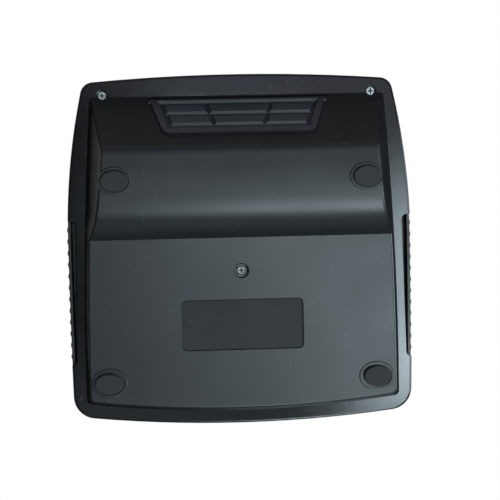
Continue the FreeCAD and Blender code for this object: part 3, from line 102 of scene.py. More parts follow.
# %% Place the camera
CAMERA_TARGET = Vector((-0.00389, 0.00047, 0.010))
CAMERA_DISTANCE = 0.65
CAMERA_LEAN = math.radians(10.16)
CAMERA_SWING = math.radians(-3.48)
CAMERA_ROLL = math.radians(-1.42)
CAMERA_LENS = 106.0
CAMERA_SENSOR = 36.0

facing = (Matrix.Rotation(CAMERA_LEAN, 4, "X") @ Matrix.Rotation(math.pi + CAMERA_SWING, 4, "Y")
          @ Matrix.Rotation(CAMERA_ROLL, 4, "Z"))
camera_data = bpy.data.cameras.new("photo_camera")
camera_data.lens = CAMERA_LENS
camera_data.sensor_width = CAMERA_SENSOR
camera = bpy.data.objects.new("photo_camera", camera_data)
step_back = Matrix.Translation((0, 0, CAMERA_DISTANCE))
camera.matrix_world = Matrix.Translation(CAMERA_TARGET) @ facing @ step_back
scene.collection.objects.link(camera)
scene.camera = camera
print("camera at", [round(v, 3) for v in camera.matrix_world.translation])

# %% [markdown]
# A finish is a small graph of shader nodes. Written out node by node it would hide what it does, so one
# helper adds a node and fills its sockets: a socket given as a value is linked, and anything else is set.
# The others are the few steps that nearly every finish takes, so that each finish can be read in one go.

# %% Helpers for finishes
# Three kinds of noise by detail and roughness, and the ranges that its values mostly keep to.
FINE = (2.0, 0.5)
SOFT = (3.0, 0.5)
CLOUDY = (4.0, 0.6)
NOISE_RANGE = (0.3, 0.7)
PATCH_RANGE = (0.35, 0.7)

def add_node(tree, kind, sockets=None, **settings):
    made = tree.nodes.new("ShaderNode" + kind)
    for name, value in settings.items():
        setattr(made, name, value)
    for name, value in (sockets or {}).items():
        if isinstance(value, bpy.types.NodeSocket):
            tree.links.new(value, made.inputs[name])
        else:
            made.inputs[name].default_value = value
    return made


def new_finish(name):
    finish = bpy.data.materials.new(name)
    finish.use_nodes = True
    finish.node_tree.nodes.clear()
    return finish, finish.node_tree


def end_finish(tree, shader):
    add_node(tree, "OutputMaterial", {"Surface": shader.outputs[0]})


def end_principled(tree, colour, roughness, others=None):
    sockets = {"Base Color": colour, "Roughness": roughness, **(others or {})}
    end_finish(tree, add_node(tree, "BsdfPrincipled", sockets))


def object_place(tree):
    return add_node(tree, "TexCoord").outputs["Object"]


def split(tree, place):
    return add_node(tree, "SeparateXYZ", {0: place}).outputs


def noise(tree, where, scale, detail, roughness):
    sockets = {"Vector": where, "Scale": scale, "Detail": detail, "Roughness": roughness}
    return add_node(tree, "TexNoise", sockets).outputs["Fac"]


def spread(tree, value, low, high, to_low=0.0, to_high=1.0):
    sockets = {"Value": value, "From Min": low, "From Max": high, "To Min": to_low, "To Max": to_high}
    return add_node(tree, "MapRange", sockets).outputs["Result"]


def blend(tree, share, first, second):
    return add_node(tree, "Mix", {0: share, 6: first, 7: second}, data_type="RGBA").outputs[2]


def math_node(tree, operation, first, second=0.0):
    return add_node(tree, "Math", {0: first, 1: second}, operation=operation).outputs[0]


def bump(tree, height, strength, distance):
    sockets = {"Height": height, "Strength": strength, "Distance": distance}
    return add_node(tree, "Bump", sockets).outputs["Normal"]


def opaque(tone, share=1.0):
    return (*(share * channel for channel in tone), 1.0)


def grey(value):
    return opaque((value, value, value))


print("helpers for finishes are ready")

# %% [markdown]
# The object stands on a pale floor, but the photograph looks up through the place where that floor would
# be. Hiding the floor from the camera would lose it in the other views. A surface knows which of its sides
# is seen, so the floor shows only from above and lets every other ray pass. Further out it fades into the
# white backdrop, so no horizon line shows in a low view.

# %% Floor and world
FLOOR_SIZE = 6.0
FLOOR_GAP = 0.3 * MM
FLOOR_TONE = 0.8
FADE_START = 0.25
FADE_END = 0.9
AMBIENT = 0.35

def make_floor():
    mesh = bpy.data.meshes.new("floor")
    shape = bmesh.new()
    bmesh.ops.create_grid(shape, x_segments=1, y_segments=1, size=FLOOR_SIZE / 2)
    shape.to_mesh(mesh)
    shape.free()
    floor = bpy.data.objects.new("floor", mesh)
    floor.location.z = -FLOOR_GAP
    scene.collection.objects.link(floor)
    finish, tree = new_finish("pale floor")
    from_below = add_node(tree, "NewGeometry").outputs["Backfacing"]
    distance = add_node(tree, "VectorMath", {0: object_place(tree)}, operation="LENGTH").outputs["Value"]
    open_share = math_node(tree, "MAXIMUM", from_below, spread(tree, distance, FADE_START, FADE_END))
    paper = add_node(tree, "BsdfDiffuse", {"Color": grey(FLOOR_TONE)})
    clear = add_node(tree, "BsdfTransparent")
    end_finish(tree, add_node(tree, "MixShader", {0: open_share, 1: paper.outputs[0], 2: clear.outputs[0]}))
    mesh.materials.append(finish)
    floor.visible_shadow = False
    floor.visible_diffuse = False
    floor.visible_glossy = False
    floor.visible_transmission = False


def make_world():
    world = bpy.data.worlds.new("studio")
    world.use_nodes = True
    tree = world.node_tree
    tree.nodes.clear()
    path = add_node(tree, "LightPath").outputs
    seen = math_node(tree, "MAXIMUM", path["Is Camera Ray"], path["Is Glossy Ray"])
    seen = math_node(tree, "MAXIMUM", seen, path["Is Transmission Ray"])
    strength = spread(tree, seen, 0.0, 1.0, AMBIENT, 1.0)
    background = add_node(tree, "Background", {"Color": grey(1.0), "Strength": strength})
    add_node(tree, "OutputWorld", {"Surface": background.outputs[0]})
    scene.world = world


make_floor()
make_world()
scene.view_settings.view_transform = "Standard"
print("floor", FLOOR_SIZE, "m wide, faded out from", FADE_START, "to", FADE_END, "m")

# %% [markdown]
# The sheen in the photograph is soft light from the right and the front in a darker room. One large lamp
# would shine on every face alike, so each lamp under the table plane hangs where one face of the case
# mirrors it to the camera: the plate, the rim, the slope or the round front of the hump. Three low lamps
# draw the edges, and the lamps above the table serve the views of the keyboard.

# %% Lamps
COOL = (0.76, 0.93, 1.0)
BLUISH = (0.75, 0.80, 1.0)
WHITE = (1.0, 1.0, 1.0)
# Each row holds a name, a place, a width and a length, the watts and the tint.
LAMPS = (("under_near", (-0.28, 0.045, -0.87), (0.22, 0.20), 1.45, COOL),
         ("under_plate", (-0.04, 0.14, -0.87), (0.16, 0.10), 0.58, COOL),
         ("under_rim", (-0.218, -0.050, -0.86), (0.06, 0.10), 0.25, COOL),
         ("under_fill", (0.02, -0.10, -0.87), (0.45, 0.06), 0.055, COOL),
         ("under_rear", (-0.09, 0.31, -0.82), (0.42, 0.16), 0.16, BLUISH),
         ("under_crown", (-0.19, -0.36, -0.87), (0.34, 0.36), 1.9, COOL),
         ("under_front", (-0.21, -0.68, -0.87), (0.34, 0.22), 3.0, COOL),
         ("low_front", (0.0, -1.0, -0.35), (0.7, 0.4), 0.45, COOL),
         ("low_rear", (0.0, 0.9, -0.4), (0.7, 0.4), 0.4, BLUISH),
         ("low_right", (-0.9, -0.05, -0.42), (0.6, 0.3), 8.0, COOL),
         ("over_key", (-0.6, -0.6, 1.0), (0.9, 0.9), 18.0, WHITE),
         ("over_fill", (0.8, -0.2, 0.8), (0.7, 0.7), 7.0, WHITE),
         ("over_rear", (0.1, 0.9, 0.7), (0.9, 0.5), 7.0, WHITE))

def add_lamp(name, place, size, power, tint):
    data = bpy.data.lights.new(name, "AREA")
    data.shape = "RECTANGLE"
    data.size, data.size_y = size
    data.energy = power
    data.color = tint
    lamp = bpy.data.objects.new(name, data)
    lamp.location = place
    lamp.rotation_euler = (-Vector(place)).to_track_quat("-Z", "Y").to_euler()
    lamp.visible_camera = False
    scene.collection.objects.link(lamp)


for row in LAMPS:
    add_lamp(*row)
print(len(LAMPS), "lamps")

# %% [markdown]
# Black plastic shows what it mirrors, and in an empty white world it would mirror white all over. A grey
# bowl below and a dark board around the case stand for the room. Only reflections meet them, so the
# background stays white and no light is lost, and the board is dark only from below.

# %% Grey bowl and dark board, which only reflections see
BOWL_RADIUS = 1.6
BOWL_TOP = 0.5
BOWL_TONE = 0.08
BOARD_OVERLAP = 0.004
BOARD_REACH = 8.0
BOARD_TONE = 0.01
PARTING_HEIGHT = 17.0 * MM

def add_reflected(name, shape, tone, from_below=False):
    mesh = bpy.data.meshes.new(name)
    shape.to_mesh(mesh)
    shape.free()
    finish, tree = new_finish(name)
    shader = add_node(tree, "BsdfDiffuse", {"Color": grey(tone)})
    if from_below:
        back = add_node(tree, "NewGeometry").outputs["Backfacing"]
        clear = add_node(tree, "BsdfTransparent")
        shader = add_node(tree, "MixShader", {0: back, 1: clear.outputs[0], 2: shader.outputs[0]})
    end_finish(tree, shader)
    mesh.materials.append(finish)
    made = bpy.data.objects.new(name, mesh)
    scene.collection.objects.link(made)
    made.visible_camera = False
    made.visible_diffuse = False
    made.visible_transmission = False
    made.visible_shadow = False


def everything_in(shape):
    return shape.verts[:] + shape.edges[:] + shape.faces[:]


def make_bowl():
    shape = bmesh.new()
    bmesh.ops.create_uvsphere(shape, u_segments=48, v_segments=32, radius=BOWL_RADIUS)
    bmesh.ops.bisect_plane(shape, geom=everything_in(shape), plane_co=(0, 0, BOWL_TOP), plane_no=(0, 0, 1),
                           clear_outer=True)
    add_reflected("grey_bowl", shape, BOWL_TONE)


def make_board():
    half_width = cad_box[1].x - BOARD_OVERLAP
    half_depth = cad_box[1].y - BOARD_OVERLAP
    shape = bmesh.new()
    corners = ((-1, -1), (1, -1), (1, 1), (-1, 1))
    ring = [shape.verts.new((x * half_width, y * half_depth, 0)) for x, y in corners]
    edges = [shape.edges.new((ring[i - 1], ring[i])) for i in range(4)]
    outer = bmesh.ops.extrude_edge_only(shape, edges=edges)["geom"]
    outer = [part for part in outer if isinstance(part, bmesh.types.BMVert)]
    bmesh.ops.scale(shape, vec=(BOARD_REACH, BOARD_REACH, 1), verts=outer)
    place = Matrix.Translation((0, 0, PARTING_HEIGHT)) @ deck_to_world
    bmesh.ops.transform(shape, matrix=place, verts=shape.verts)
    for face in shape.faces:
        face.normal_update()
        if face.normal.z < 0:
            face.normal_flip()
    add_reflected("dark_board", shape, BOARD_TONE, True)


make_bowl()
make_board()
print("bowl of", BOWL_RADIUS, "m, and a board at", PARTING_HEIGHT / MM, "mm")

# %% [markdown]
# The case is moulded black plastic with a fine spark-eroded skin. Handling leaves faint smears and a few
# pale rubbed marks. The skin is noise in the bump, and the smears change how sharply the surface shines.
# The rim is smoother than the plate. The floor of the label recess is duller, and so is the flat of the
# hump towards its ridge. Painted masks would need a UV map, but all of these lie at known heights, measured
# square to the deck or to the table, so the roughness follows those heights.

# %% Case plastic
RIM_LEVEL = 13.6 * MM
LABEL_LEVEL = 9.87 * MM
LABEL_BAND = 0.12 * MM
HUMP_LEVEL = 8.9 * MM
HUMP_FLAT = 1.1 * MM
HUMP_FADE = 2.0 * MM
FLAT_FRONT = 23.0 * MM
FLAT_REAR = 40.0 * MM
SKIN_SCALE = 2600.0
SKIN_STRENGTH = 0.25
SKIN_DEPTH = 0.08 * MM
SMEAR_SCALE = 38.0
SMEAR_RANGE = (0.3, 0.75)
SMEAR_SHADE = 0.8
SMEAR_ROUGHER = 0.06
MARK_TURN = 0.5
MARK_SCALE = (2200, 150, 600)
MARK_PEAKS = (0.72, 0.80)
MARK_SHARE = 0.4
MARK_TONE = 0.25

def deck_place(tree):
    """Object coordinates, and the same place split up in deck coordinates."""
    where = object_place(tree)
    turned = add_node(tree, "Mapping", {"Vector": where, "Rotation": (-deck_tilt, 0, 0)}).outputs[0]
    return where, split(tree, turned)


def rubbed_marks(tree, where):
    """Short thin strokes, which noise that is drawn out one way gives when only its peaks are kept."""
    sockets = {"Vector": where, "Rotation": (0, 0, MARK_TURN), "Scale": MARK_SCALE}
    drawn_out = add_node(tree, "Mapping", sockets).outputs[0]
    return spread(tree, noise(tree, drawn_out, 1.0, *FINE), *MARK_PEAKS)


def label_floor(tree, deck):
    off_level = math_node(tree, "SUBTRACT", deck["Z"], LABEL_LEVEL)
    return math_node(tree, "LESS_THAN", math_node(tree, "ABSOLUTE", off_level), LABEL_BAND)


def hump_flat(tree, where, deck):
    """A mask that grows over the flat of the hump from its front to its ridge."""
    table = split(tree, where)
    flat = spread(tree, table["Z"], HUMP_FLAT, HUMP_FLAT + HUMP_FADE, 1.0, 0.0)
    flat = math_node(tree, "MULTIPLY", flat, spread(tree, table["Y"], FLAT_FRONT, FLAT_REAR))
    return math_node(tree, "MULTIPLY", flat, math_node(tree, "LESS_THAN", deck["Z"], HUMP_LEVEL))


def times_on(tree, value, mask, factor):
    return math_node(tree, "MULTIPLY", value, spread(tree, mask, 0.0, 1.0, 1.0, factor))


def make_case_plastic(name, tone, rough, on_rim=1.0, on_label=1.0, on_flat=1.0):
    """The last three are factors of the roughness on the rim, the label's floor and the hump's flat."""
    finish, tree = new_finish(name)
    where, deck = deck_place(tree)
    skin = noise(tree, where, SKIN_SCALE, *FINE)
    smear = noise(tree, where, SMEAR_SCALE, *CLOUDY)
    colour = blend(tree, spread(tree, smear, *PATCH_RANGE), opaque(tone, SMEAR_SHADE), opaque(tone))
    marks = math_node(tree, "MULTIPLY", rubbed_marks(tree, where), MARK_SHARE)
    colour = blend(tree, marks, colour, grey(MARK_TONE))
    roughness = spread(tree, smear, *SMEAR_RANGE, rough, rough + SMEAR_ROUGHER)
    rim = math_node(tree, "GREATER_THAN", deck["Z"], RIM_LEVEL)
    roughness = times_on(tree, roughness, rim, on_rim)
    roughness = times_on(tree, roughness, label_floor(tree, deck), on_label)
    roughness = times_on(tree, roughness, hump_flat(tree, where, deck), on_flat)
    end_principled(tree, colour, roughness, {"Normal": bump(tree, skin, SKIN_STRENGTH, SKIN_DEPTH)})
    return finish


def give(finish, *names):
    for name in names:
        nodes[name].data.materials.clear()
        nodes[name].data.materials.append(finish)


BLACK = (0.007, 0.007, 0.0075)
SLATE = (0.0135, 0.0155, 0.0215)
lower_plastic = make_case_plastic("lower shell plastic", BLACK, 0.30, on_rim=0.36, on_label=2.0, on_flat=2.0)
give(lower_plastic, "bottom_case")
give(make_case_plastic("upper shell plastic", BLACK, 0.36), "top_case")
give(make_case_plastic("cover plastic", SLATE, 0.44), "battery_cover")
give(make_case_plastic("inner frame plastic", SLATE, 0.5), "lcd_frame", "switch_bodies")
print("case plastic on the shells, the cover and the inner frames")

# %% [markdown]
# The feet are matt rubber pads that pick up dust, and the mat under the keys is pale silicone. Dust could
# be modelled as a layer, but both are so dull that almost all of their look is an uneven tone and a soft
# grain.

# %% Rubber
PATCHY = (5.0, 0.65)
RUBBER_PATCH_SCALE = 240.0
RUBBER_ROUGHER = 0.12
RUBBER_GRAIN_SCALE = 3200.0
RUBBER_GRAIN_STRENGTH = 0.3
RUBBER_GRAIN_DEPTH = 0.1 * MM

def make_rubber(name, tone, worn, rough, shine):
    finish, tree = new_finish(name)
    where = object_place(tree)
    patches = noise(tree, where, RUBBER_PATCH_SCALE, *PATCHY)
    grain = noise(tree, where, RUBBER_GRAIN_SCALE, *FINE)
    colour = blend(tree, spread(tree, patches, *PATCH_RANGE), opaque(tone), opaque(worn))
    roughness = spread(tree, patches, *NOISE_RANGE, rough, rough + RUBBER_ROUGHER)
    normal = bump(tree, grain, RUBBER_GRAIN_STRENGTH, RUBBER_GRAIN_DEPTH)
    end_principled(tree, colour, roughness, {"Specular IOR Level": shine, "Normal": normal})
    return finish


foot_rubber = make_rubber("foot rubber", (0.013, 0.014, 0.013), (0.020, 0.021, 0.020), 0.62, 0.3)
mat_rubber = make_rubber("mat rubber", (0.52, 0.52, 0.50), (0.60, 0.60, 0.57), 0.55, 0.5)
give(foot_rubber, "rubber_feet")
give(mat_rubber, "keypad_mat")
print("rubber on the feet and the mat")

# %% [markdown]
# The screws are zinc plated and the battery contacts nickel plated. Plating is metal with a soft, slightly
# uneven shine, so the noise goes into the roughness and barely into the colour. Painted shade darkens the
# cross of each case screw. It needs no piece of its own, because the cross lies above the head's face in the
# deck's direction. The head of the screw in the middle lies deep in its hole, and painted shade makes it
# darker.

# %% Plated metal
PLATING_CLOUD_SCALE = 700.0
PLATING_SHADE = 0.8
PLATING_ROUGHER = 0.14
PLATING_GRAIN_SCALE = 4200.0
PLATING_GRAIN_STRENGTH = 0.15
PLATING_GRAIN_DEPTH = 0.03 * MM
CENTRE_REACH = 10.0 * MM
CENTRE_CROSS_LEVEL = 13.7 * MM
CORNER_CROSS_LEVEL = 17.0 * MM
# Painted shade: a dark grey for the head of the screw in the middle, deep in its hole, and near black in
# every cross.
CENTRE_SHADE_TONE = 0.26
CROSS_SHADE_TONE = 0.015

def paint_screw_shade(tree, deck, colour):
    """Paints shade: darkens the screw in the middle, and what lies above the face of any screw's head."""
    corner = math_node(tree, "GREATER_THAN", math_node(tree, "ABSOLUTE", deck["X"]), CENTRE_REACH)
    level = spread(tree, corner, 0.0, 1.0, CENTRE_CROSS_LEVEL, CORNER_CROSS_LEVEL)
    colour = blend(tree, corner, grey(CENTRE_SHADE_TONE), colour)
    return blend(tree, math_node(tree, "GREATER_THAN", deck["Z"], level), colour, grey(CROSS_SHADE_TONE))


def make_plating(name, tone, rough, cross=False):
    finish, tree = new_finish(name)
    where, deck = deck_place(tree)
    cloud = noise(tree, where, PLATING_CLOUD_SCALE, *CLOUDY)
    grain = noise(tree, where, PLATING_GRAIN_SCALE, *FINE)
    colour = blend(tree, spread(tree, cloud, *NOISE_RANGE), opaque(tone, PLATING_SHADE), opaque(tone))
    if cross:
        colour = paint_screw_shade(tree, deck, colour)
    roughness = spread(tree, cloud, *NOISE_RANGE, rough, rough + PLATING_ROUGHER)
    normal = bump(tree, grain, PLATING_GRAIN_STRENGTH, PLATING_GRAIN_DEPTH)
    end_principled(tree, colour, roughness, {"Metallic": 1.0, "Normal": normal})
    return finish


zinc = make_plating("zinc plating", (0.34, 0.35, 0.35), 0.34)
# Painted shade darkens the cross of these screws and the head of the one in the middle.
screw_zinc = make_plating("zinc plating with painted shade in the cross", (0.56, 0.57, 0.57), 0.36, cross=True)
nickel = make_plating("nickel plating", (0.72, 0.70, 0.65), 0.18)
give(zinc, "board_screws")
give(screw_zinc, "case_screws")
give(nickel, "battery_contact_plus", "battery_contact_minus")
print("plating on the screws and contacts")

# %% [markdown]
# The cell has a plain shrink jacket, with bare steel at both ends. Two materials on one mesh would need its
# faces sorted, but its axis runs along X, so the distance along X tells jacket from steel in one material.
# A paler band marks the end with the nub.

# %% Cell jacket
JACKET_EDGE = 0.5 * MM
BAND_WIDTH = 9.0 * MM
NUB_LENGTH = 1.2 * MM
JACKET_BLUE = (0.035, 0.05, 0.085)
BAND_GREY = (0.34, 0.35, 0.36)
FADED_TONE = 0.12
FADED_SHARE = 0.25
STEEL_TONE = 0.62
JACKET_CLOUD_SCALE = 160.0
JACKET_ROUGHNESS = (0.2, 0.32)

def make_cell_finish():
    low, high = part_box("battery_cell")
    finish, tree = new_finish("cell jacket and steel ends")
    where = object_place(tree)
    along = split(tree, where)["X"]
    shoulder = high[0] - NUB_LENGTH - JACKET_EDGE
    cloud = noise(tree, where, JACKET_CLOUD_SCALE, *CLOUDY)
    band = math_node(tree, "GREATER_THAN", along, shoulder - BAND_WIDTH)
    jacket = blend(tree, band, opaque(JACKET_BLUE), opaque(BAND_GREY))
    jacket = blend(tree, spread(tree, cloud, *NOISE_RANGE, 0.0, FADED_SHARE), jacket, grey(FADED_TONE))
    steel = math_node(tree, "MAXIMUM", math_node(tree, "LESS_THAN", along, low[0] + JACKET_EDGE),
                      math_node(tree, "GREATER_THAN", along, shoulder))
    colour = blend(tree, steel, jacket, grey(STEEL_TONE))
    roughness = spread(tree, cloud, *NOISE_RANGE, *JACKET_ROUGHNESS)
    end_principled(tree, colour, roughness, {"Metallic": steel})
    return finish


give(make_cell_finish(), "battery_cell")
print("jacket on the cell")

# %% [markdown]
# The minus contact carries a coil spring of nickel-plated wire. A curve with a bevel would do, but spinning
# a small circle about the coil's axis, with a step along that axis at each turn, draws the closed wire in
# one go. It takes its place and size from the node that it stands for.

# %% Battery spring
SPRING_WIRE = 0.8 * MM
SPRING_SIDES = 14
SPRING_TURNS = 4
SPRING_STEPS = 32

def deck_box(name, to_frame=world_to_deck):
    points = [to_frame @ vertex.co for vertex in nodes[name].data.vertices]
    return (Vector([min(point[i] for point in points) for i in range(3)]),
            Vector([max(point[i] for point in points) for i in range(3)]))


def add_piece(name, shape, finish, body, smooth=True):
    bmesh.ops.recalc_face_normals(shape, faces=shape.faces)
    for face in shape.faces:
        face.smooth = smooth
    mesh = bpy.data.meshes.new(name)
    shape.to_mesh(mesh)
    shape.free()
    mesh.materials.append(finish)
    piece = bpy.data.objects.new(name, mesh)
    scene.collection.objects.link(piece)
    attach(piece, body)
    return piece


def make_spring():
    low, high = deck_box("battery_spring")
    middle = (low + high) / 2
    wire = SPRING_WIRE / 2
    steps = SPRING_TURNS * SPRING_STEPS
    shape = bmesh.new()
    ring = bmesh.ops.create_circle(shape, segments=SPRING_SIDES, radius=wire)["verts"]
    bmesh.ops.rotate(shape, verts=ring, matrix=Matrix.Rotation(math.pi / 2, 3, "X"))
    bmesh.ops.translate(shape, verts=ring, vec=(low.x + wire, middle.y, high.z - wire))
    step = (high.x - low.x - SPRING_WIRE) / steps
    bmesh.ops.spin(shape, geom=shape.edges[:], cent=(0, middle.y, middle.z), axis=(1, 0, 0),
                   dvec=(step, 0, 0), angle=2 * math.pi * SPRING_TURNS, steps=steps, use_merge=False)
    bmesh.ops.holes_fill(shape, edges=[edge for edge in shape.edges if edge.is_boundary])
    bmesh.ops.transform(shape, matrix=deck_to_world, verts=shape.verts)
    spring = add_piece("battery_coil", shape, nickel, "case")
    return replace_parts(spring, "battery_spring")


spring = make_spring()
print("battery coil of", len(spring.data.polygons), "faces")

# %% [markdown]
# The keys are satin plastic in black, grey and red. Fingers polish the middle of each dish, and dust
# gathers along the skirts. A mask for each key could paint that, but at this scale soft noise in the
# roughness suggests it well enough, and one finish serves all keys of a colour.

# %% Keys and knobs
RED_KEYS = ("all_clear", "clear_entry")
GREY_KEYS = ("unit_price", "sign", "percent", "grand_total", "backspace", "root", "memory_clear",
             "memory_recall", "memory_minus", "memory_plus")
TOUCH_SCALE = 120.0
TOUCH_SHADE = 0.85
TOUCH_ROUGHER = 0.14
KEY_SKIN_SCALE = 3000.0
KEY_SKIN_STRENGTH = 0.12
KEY_SKIN_DEPTH = 0.05 * MM

def make_key_plastic(name, tone, rough):
    finish, tree = new_finish(name)
    where = object_place(tree)
    touch = noise(tree, where, TOUCH_SCALE, *CLOUDY)
    skin = noise(tree, where, KEY_SKIN_SCALE, *FINE)
    colour = blend(tree, spread(tree, touch, *PATCH_RANGE), opaque(tone, TOUCH_SHADE), opaque(tone))
    roughness = spread(tree, touch, *NOISE_RANGE, rough, rough + TOUCH_ROUGHER)
    end_principled(tree, colour, roughness, {"Normal": bump(tree, skin, KEY_SKIN_STRENGTH, KEY_SKIN_DEPTH)})
    return finish


key_nodes = [name for name in nodes if name.startswith("key_")]
red = ["key_" + name for name in RED_KEYS]
pale = ["key_" + name for name in GREY_KEYS]
dark = [name for name in key_nodes if name not in red + pale]
give(make_key_plastic("black key plastic", (0.016, 0.016, 0.018), 0.3), *dark)
give(make_key_plastic("grey key plastic", (0.13, 0.14, 0.155), 0.32), *pale, "decimal_knob", "rounding_knob")
give(make_key_plastic("red key plastic", (0.42, 0.030, 0.020), 0.3), *red)
print(len(dark), "black,", len(pale), "grey and", len(red), "red keys")

# %% [markdown]
# Under each key a hollow dome of the mat gives way when the key is pressed. The mat is one solid in the
# imported model, and squashing all of it would move every dome with any key. So a plane just above its sheet
# cuts the domes off, and each dome becomes a piece of its own.

# %% Mat with a dome for each key
DOME_HEIGHT = 2.03 * MM
DOME_REACH = 6.0 * MM
MERGE_DISTANCE = 0.001 * MM

def cut_mat(level, keep_above):
    """A copy of the mat in deck coordinates, cut off above or below a level, with the cut closed."""
    shape = bmesh.new()
    shape.from_mesh(nodes["keypad_mat"].data)
    bmesh.ops.remove_doubles(shape, verts=shape.verts, dist=MERGE_DISTANCE)
    bmesh.ops.transform(shape, matrix=world_to_deck, verts=shape.verts)
    cut = bmesh.ops.bisect_plane(shape, geom=everything_in(shape), plane_co=(0, 0, level), plane_no=(0, 0, 1),
                                 clear_inner=keep_above, clear_outer=not keep_above)["geom_cut"]
    bmesh.ops.triangle_fill(shape, edges=[part for part in cut if isinstance(part, bmesh.types.BMEdge)],
                            use_beauty=True)
    return shape


def add_mat_piece(name, shape):
    bmesh.ops.transform(shape, matrix=deck_to_world, verts=shape.verts)
    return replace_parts(add_piece(name, shape, mat_rubber, "case", smooth=False), "keypad_mat")


mat_level = deck_box("keypad_mat")[1].z - DOME_HEIGHT
add_mat_piece("mat_sheet", cut_mat(mat_level, False))
domes = cut_mat(mat_level, True)
for node in key_nodes:
    low, high = deck_box(node)
    middle = ((low + high) / 2).xy
    shape = domes.copy()
    apart = [point for point in shape.verts if (point.co.xy - middle).length > DOME_REACH]
    bmesh.ops.delete(shape, geom=apart, context="VERTS")
    dome = add_mat_piece("mat_dome_" + node[len("key_"):], shape)
    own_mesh(dome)
domes.free()
print("mat sheet and", len(key_nodes), "domes")

# %% [markdown]
# The legends are white ink on the dished key tops. A pattern in the keys' finish could not draw letters
# without an image, so each legend is a text object made into a thin mesh. Every point then drops square to
# the deck onto the key that carries it, so the ink follows the dish and moves with its key.

# %% Legends on the keys
LEGENDS = {"all_clear": "AC", "clear_entry": "CE", "point": ".", "plus": "+", "minus": "−", "equals": "=",
           "multiply": "×", "divide": "÷", "unit_price": "MU", "sign": "+/−", "percent": "%",
           "grand_total": "GT", "backspace": "→", "memory_clear": "MC", "memory_recall": "MR",
           "memory_minus": "M−", "memory_plus": "M+", "root": "√"}
SYMBOL_KEYS = ("point", "plus", "minus", "equals", "multiply", "divide")
INK = 0.08 * MM
INK_SUNK = 0.03 * MM
DIGIT_SIZE = 6.6 * MM
SYMBOL_SIZE = 7.6 * MM
WORD_SIZE = 4.0 * MM
DROP_FROM = 0.1
WORN = (4.0, 0.7)
WEAR_SCALE = 900.0
WEAR_RANGE = (0.35, 0.75)
WEAR_SHADE = 0.86
INK_ROUGHNESS = (0.45, 0.6)

def make_ink(name, tone):
    finish, tree = new_finish(name)
    wear = noise(tree, object_place(tree), WEAR_SCALE, *WORN)
    colour = blend(tree, spread(tree, wear, *WEAR_RANGE), grey(tone), grey(WEAR_SHADE * tone))
    end_principled(tree, colour, spread(tree, wear, *NOISE_RANGE, *INK_ROUGHNESS))
    return finish


def surface_of(name):
    shape = bmesh.new()
    shape.from_mesh(nodes[name].data)
    surface = BVHTree.FromBMesh(shape)
    shape.free()
    return surface


def lay_on(shape, surface):
    """Drops a flat shape in deck coordinates onto a surface, with its underside sunk in."""
    for point in shape.verts:
        start = deck_to_world @ Vector((point.co.x, point.co.y, DROP_FROM))
        landing = surface.ray_cast(start, -deck_up)[0]
        if landing:
            point.co = landing + deck_up * (point.co.z - INK_SUNK)


def make_legend(name, words, size, place, surface, body):
    curve = bpy.data.curves.new(name, "FONT")
    curve.body = words
    curve.size = size
    curve.extrude = INK / 2
    text = bpy.data.objects.new(name + "_text", curve)
    mesh = bpy.data.meshes.new_from_object(text)
    bpy.data.objects.remove(text)
    shape = bmesh.new()
    shape.from_mesh(mesh)
    bpy.data.meshes.remove(mesh)
    bmesh.ops.remove_doubles(shape, verts=shape.verts, dist=MERGE_DISTANCE)
    across = [point.co.x for point in shape.verts]
    along = [point.co.y for point in shape.verts]
    middle = Vector(((min(across) + max(across)) / 2, (min(along) + max(along)) / 2, -INK / 2))
    bmesh.ops.translate(shape, verts=shape.verts, vec=Vector((place[0], place[1], 0)) - middle)
    lay_on(shape, surface)
    return add_piece(name, shape, white_ink, body, smooth=False)


white_ink = make_ink("white legend ink", 0.78)
for node in key_nodes:
    short = node[len("key_"):]
    size = WORD_SIZE if short in RED_KEYS + GREY_KEYS else DIGIT_SIZE
    size = SYMBOL_SIZE if short in SYMBOL_KEYS else size
    low, high = deck_box(node)
    words = LEGENDS.get(short, short)
    make_legend("legend_" + short, words, size, (low + high) / 2, surface_of(node), node)
print(len(key_nodes), "legends")

# %% [markdown]
# Behind each slide switch the deck carries three small printed settings, one for each place where the knob
# stops. They are made as the keys' legends are, so the ink lies on the deck, and they ride on the case.

# %% Legends at the switches
SETTING_SIZE = 2.3 * MM
SETTING_STEP = 5.2 * MM
SETTING_BEHIND = 4.7 * MM
SETTINGS = {"decimal_knob": ("F", "2", "0"), "rounding_knob": ("UP", "5/4", "CUT")}

deck_surface = surface_of("top_case")
for node, words in SETTINGS.items():
    low, high = deck_box(node)
    middle = (low + high) / 2
    for i, word in enumerate(words):
        place = (middle.x + (i - 1) * SETTING_STEP, middle.y + SETTING_BEHIND)
        make_legend(node + "_setting_" + str(i), word, SETTING_SIZE, place, deck_surface, "case")
print(sum(len(words) for words in SETTINGS.values()), "switch settings")

# %% [markdown]
# The display is a grey-green reflective panel behind a clear window, and the solar cell is a dark film with
# fine silver lines. The lines are far too thin to model, so they are steps in the film's colour along X.
# The window is clear plastic: light passes through, and only its polish shows.

# %% Display panel, solar film and windows
PANEL_TONES = ((0.40, 0.44, 0.37), (0.45, 0.48, 0.41))
PANEL_CLOUD_SCALE = 60.0
PANEL_GRAIN_SCALE = 1500.0
PANEL_ROUGHNESS = (0.28, 0.36)
FILM_TONES = ((0.022, 0.010, 0.016), (0.034, 0.016, 0.022))
FILM_CLOUD_SCALE = 90.0
FILM_ROUGHNESS = 0.22
SOLAR_CELLS = 4
SOLAR_LINE = 0.05
SOLAR_LINE_TONE = 0.45
COMB_PITCH = 1.6 * MM
COMB_LINE = 0.08
COMB_SHARE = 0.35
COMB_TONE = 0.3
WINDOW_TONE = (0.93, 0.95, 0.95)
WINDOW_HAZE_SCALE = 500.0
WINDOW_ROUGHNESS = (0.02, 0.06)
WINDOW_IOR = 1.45

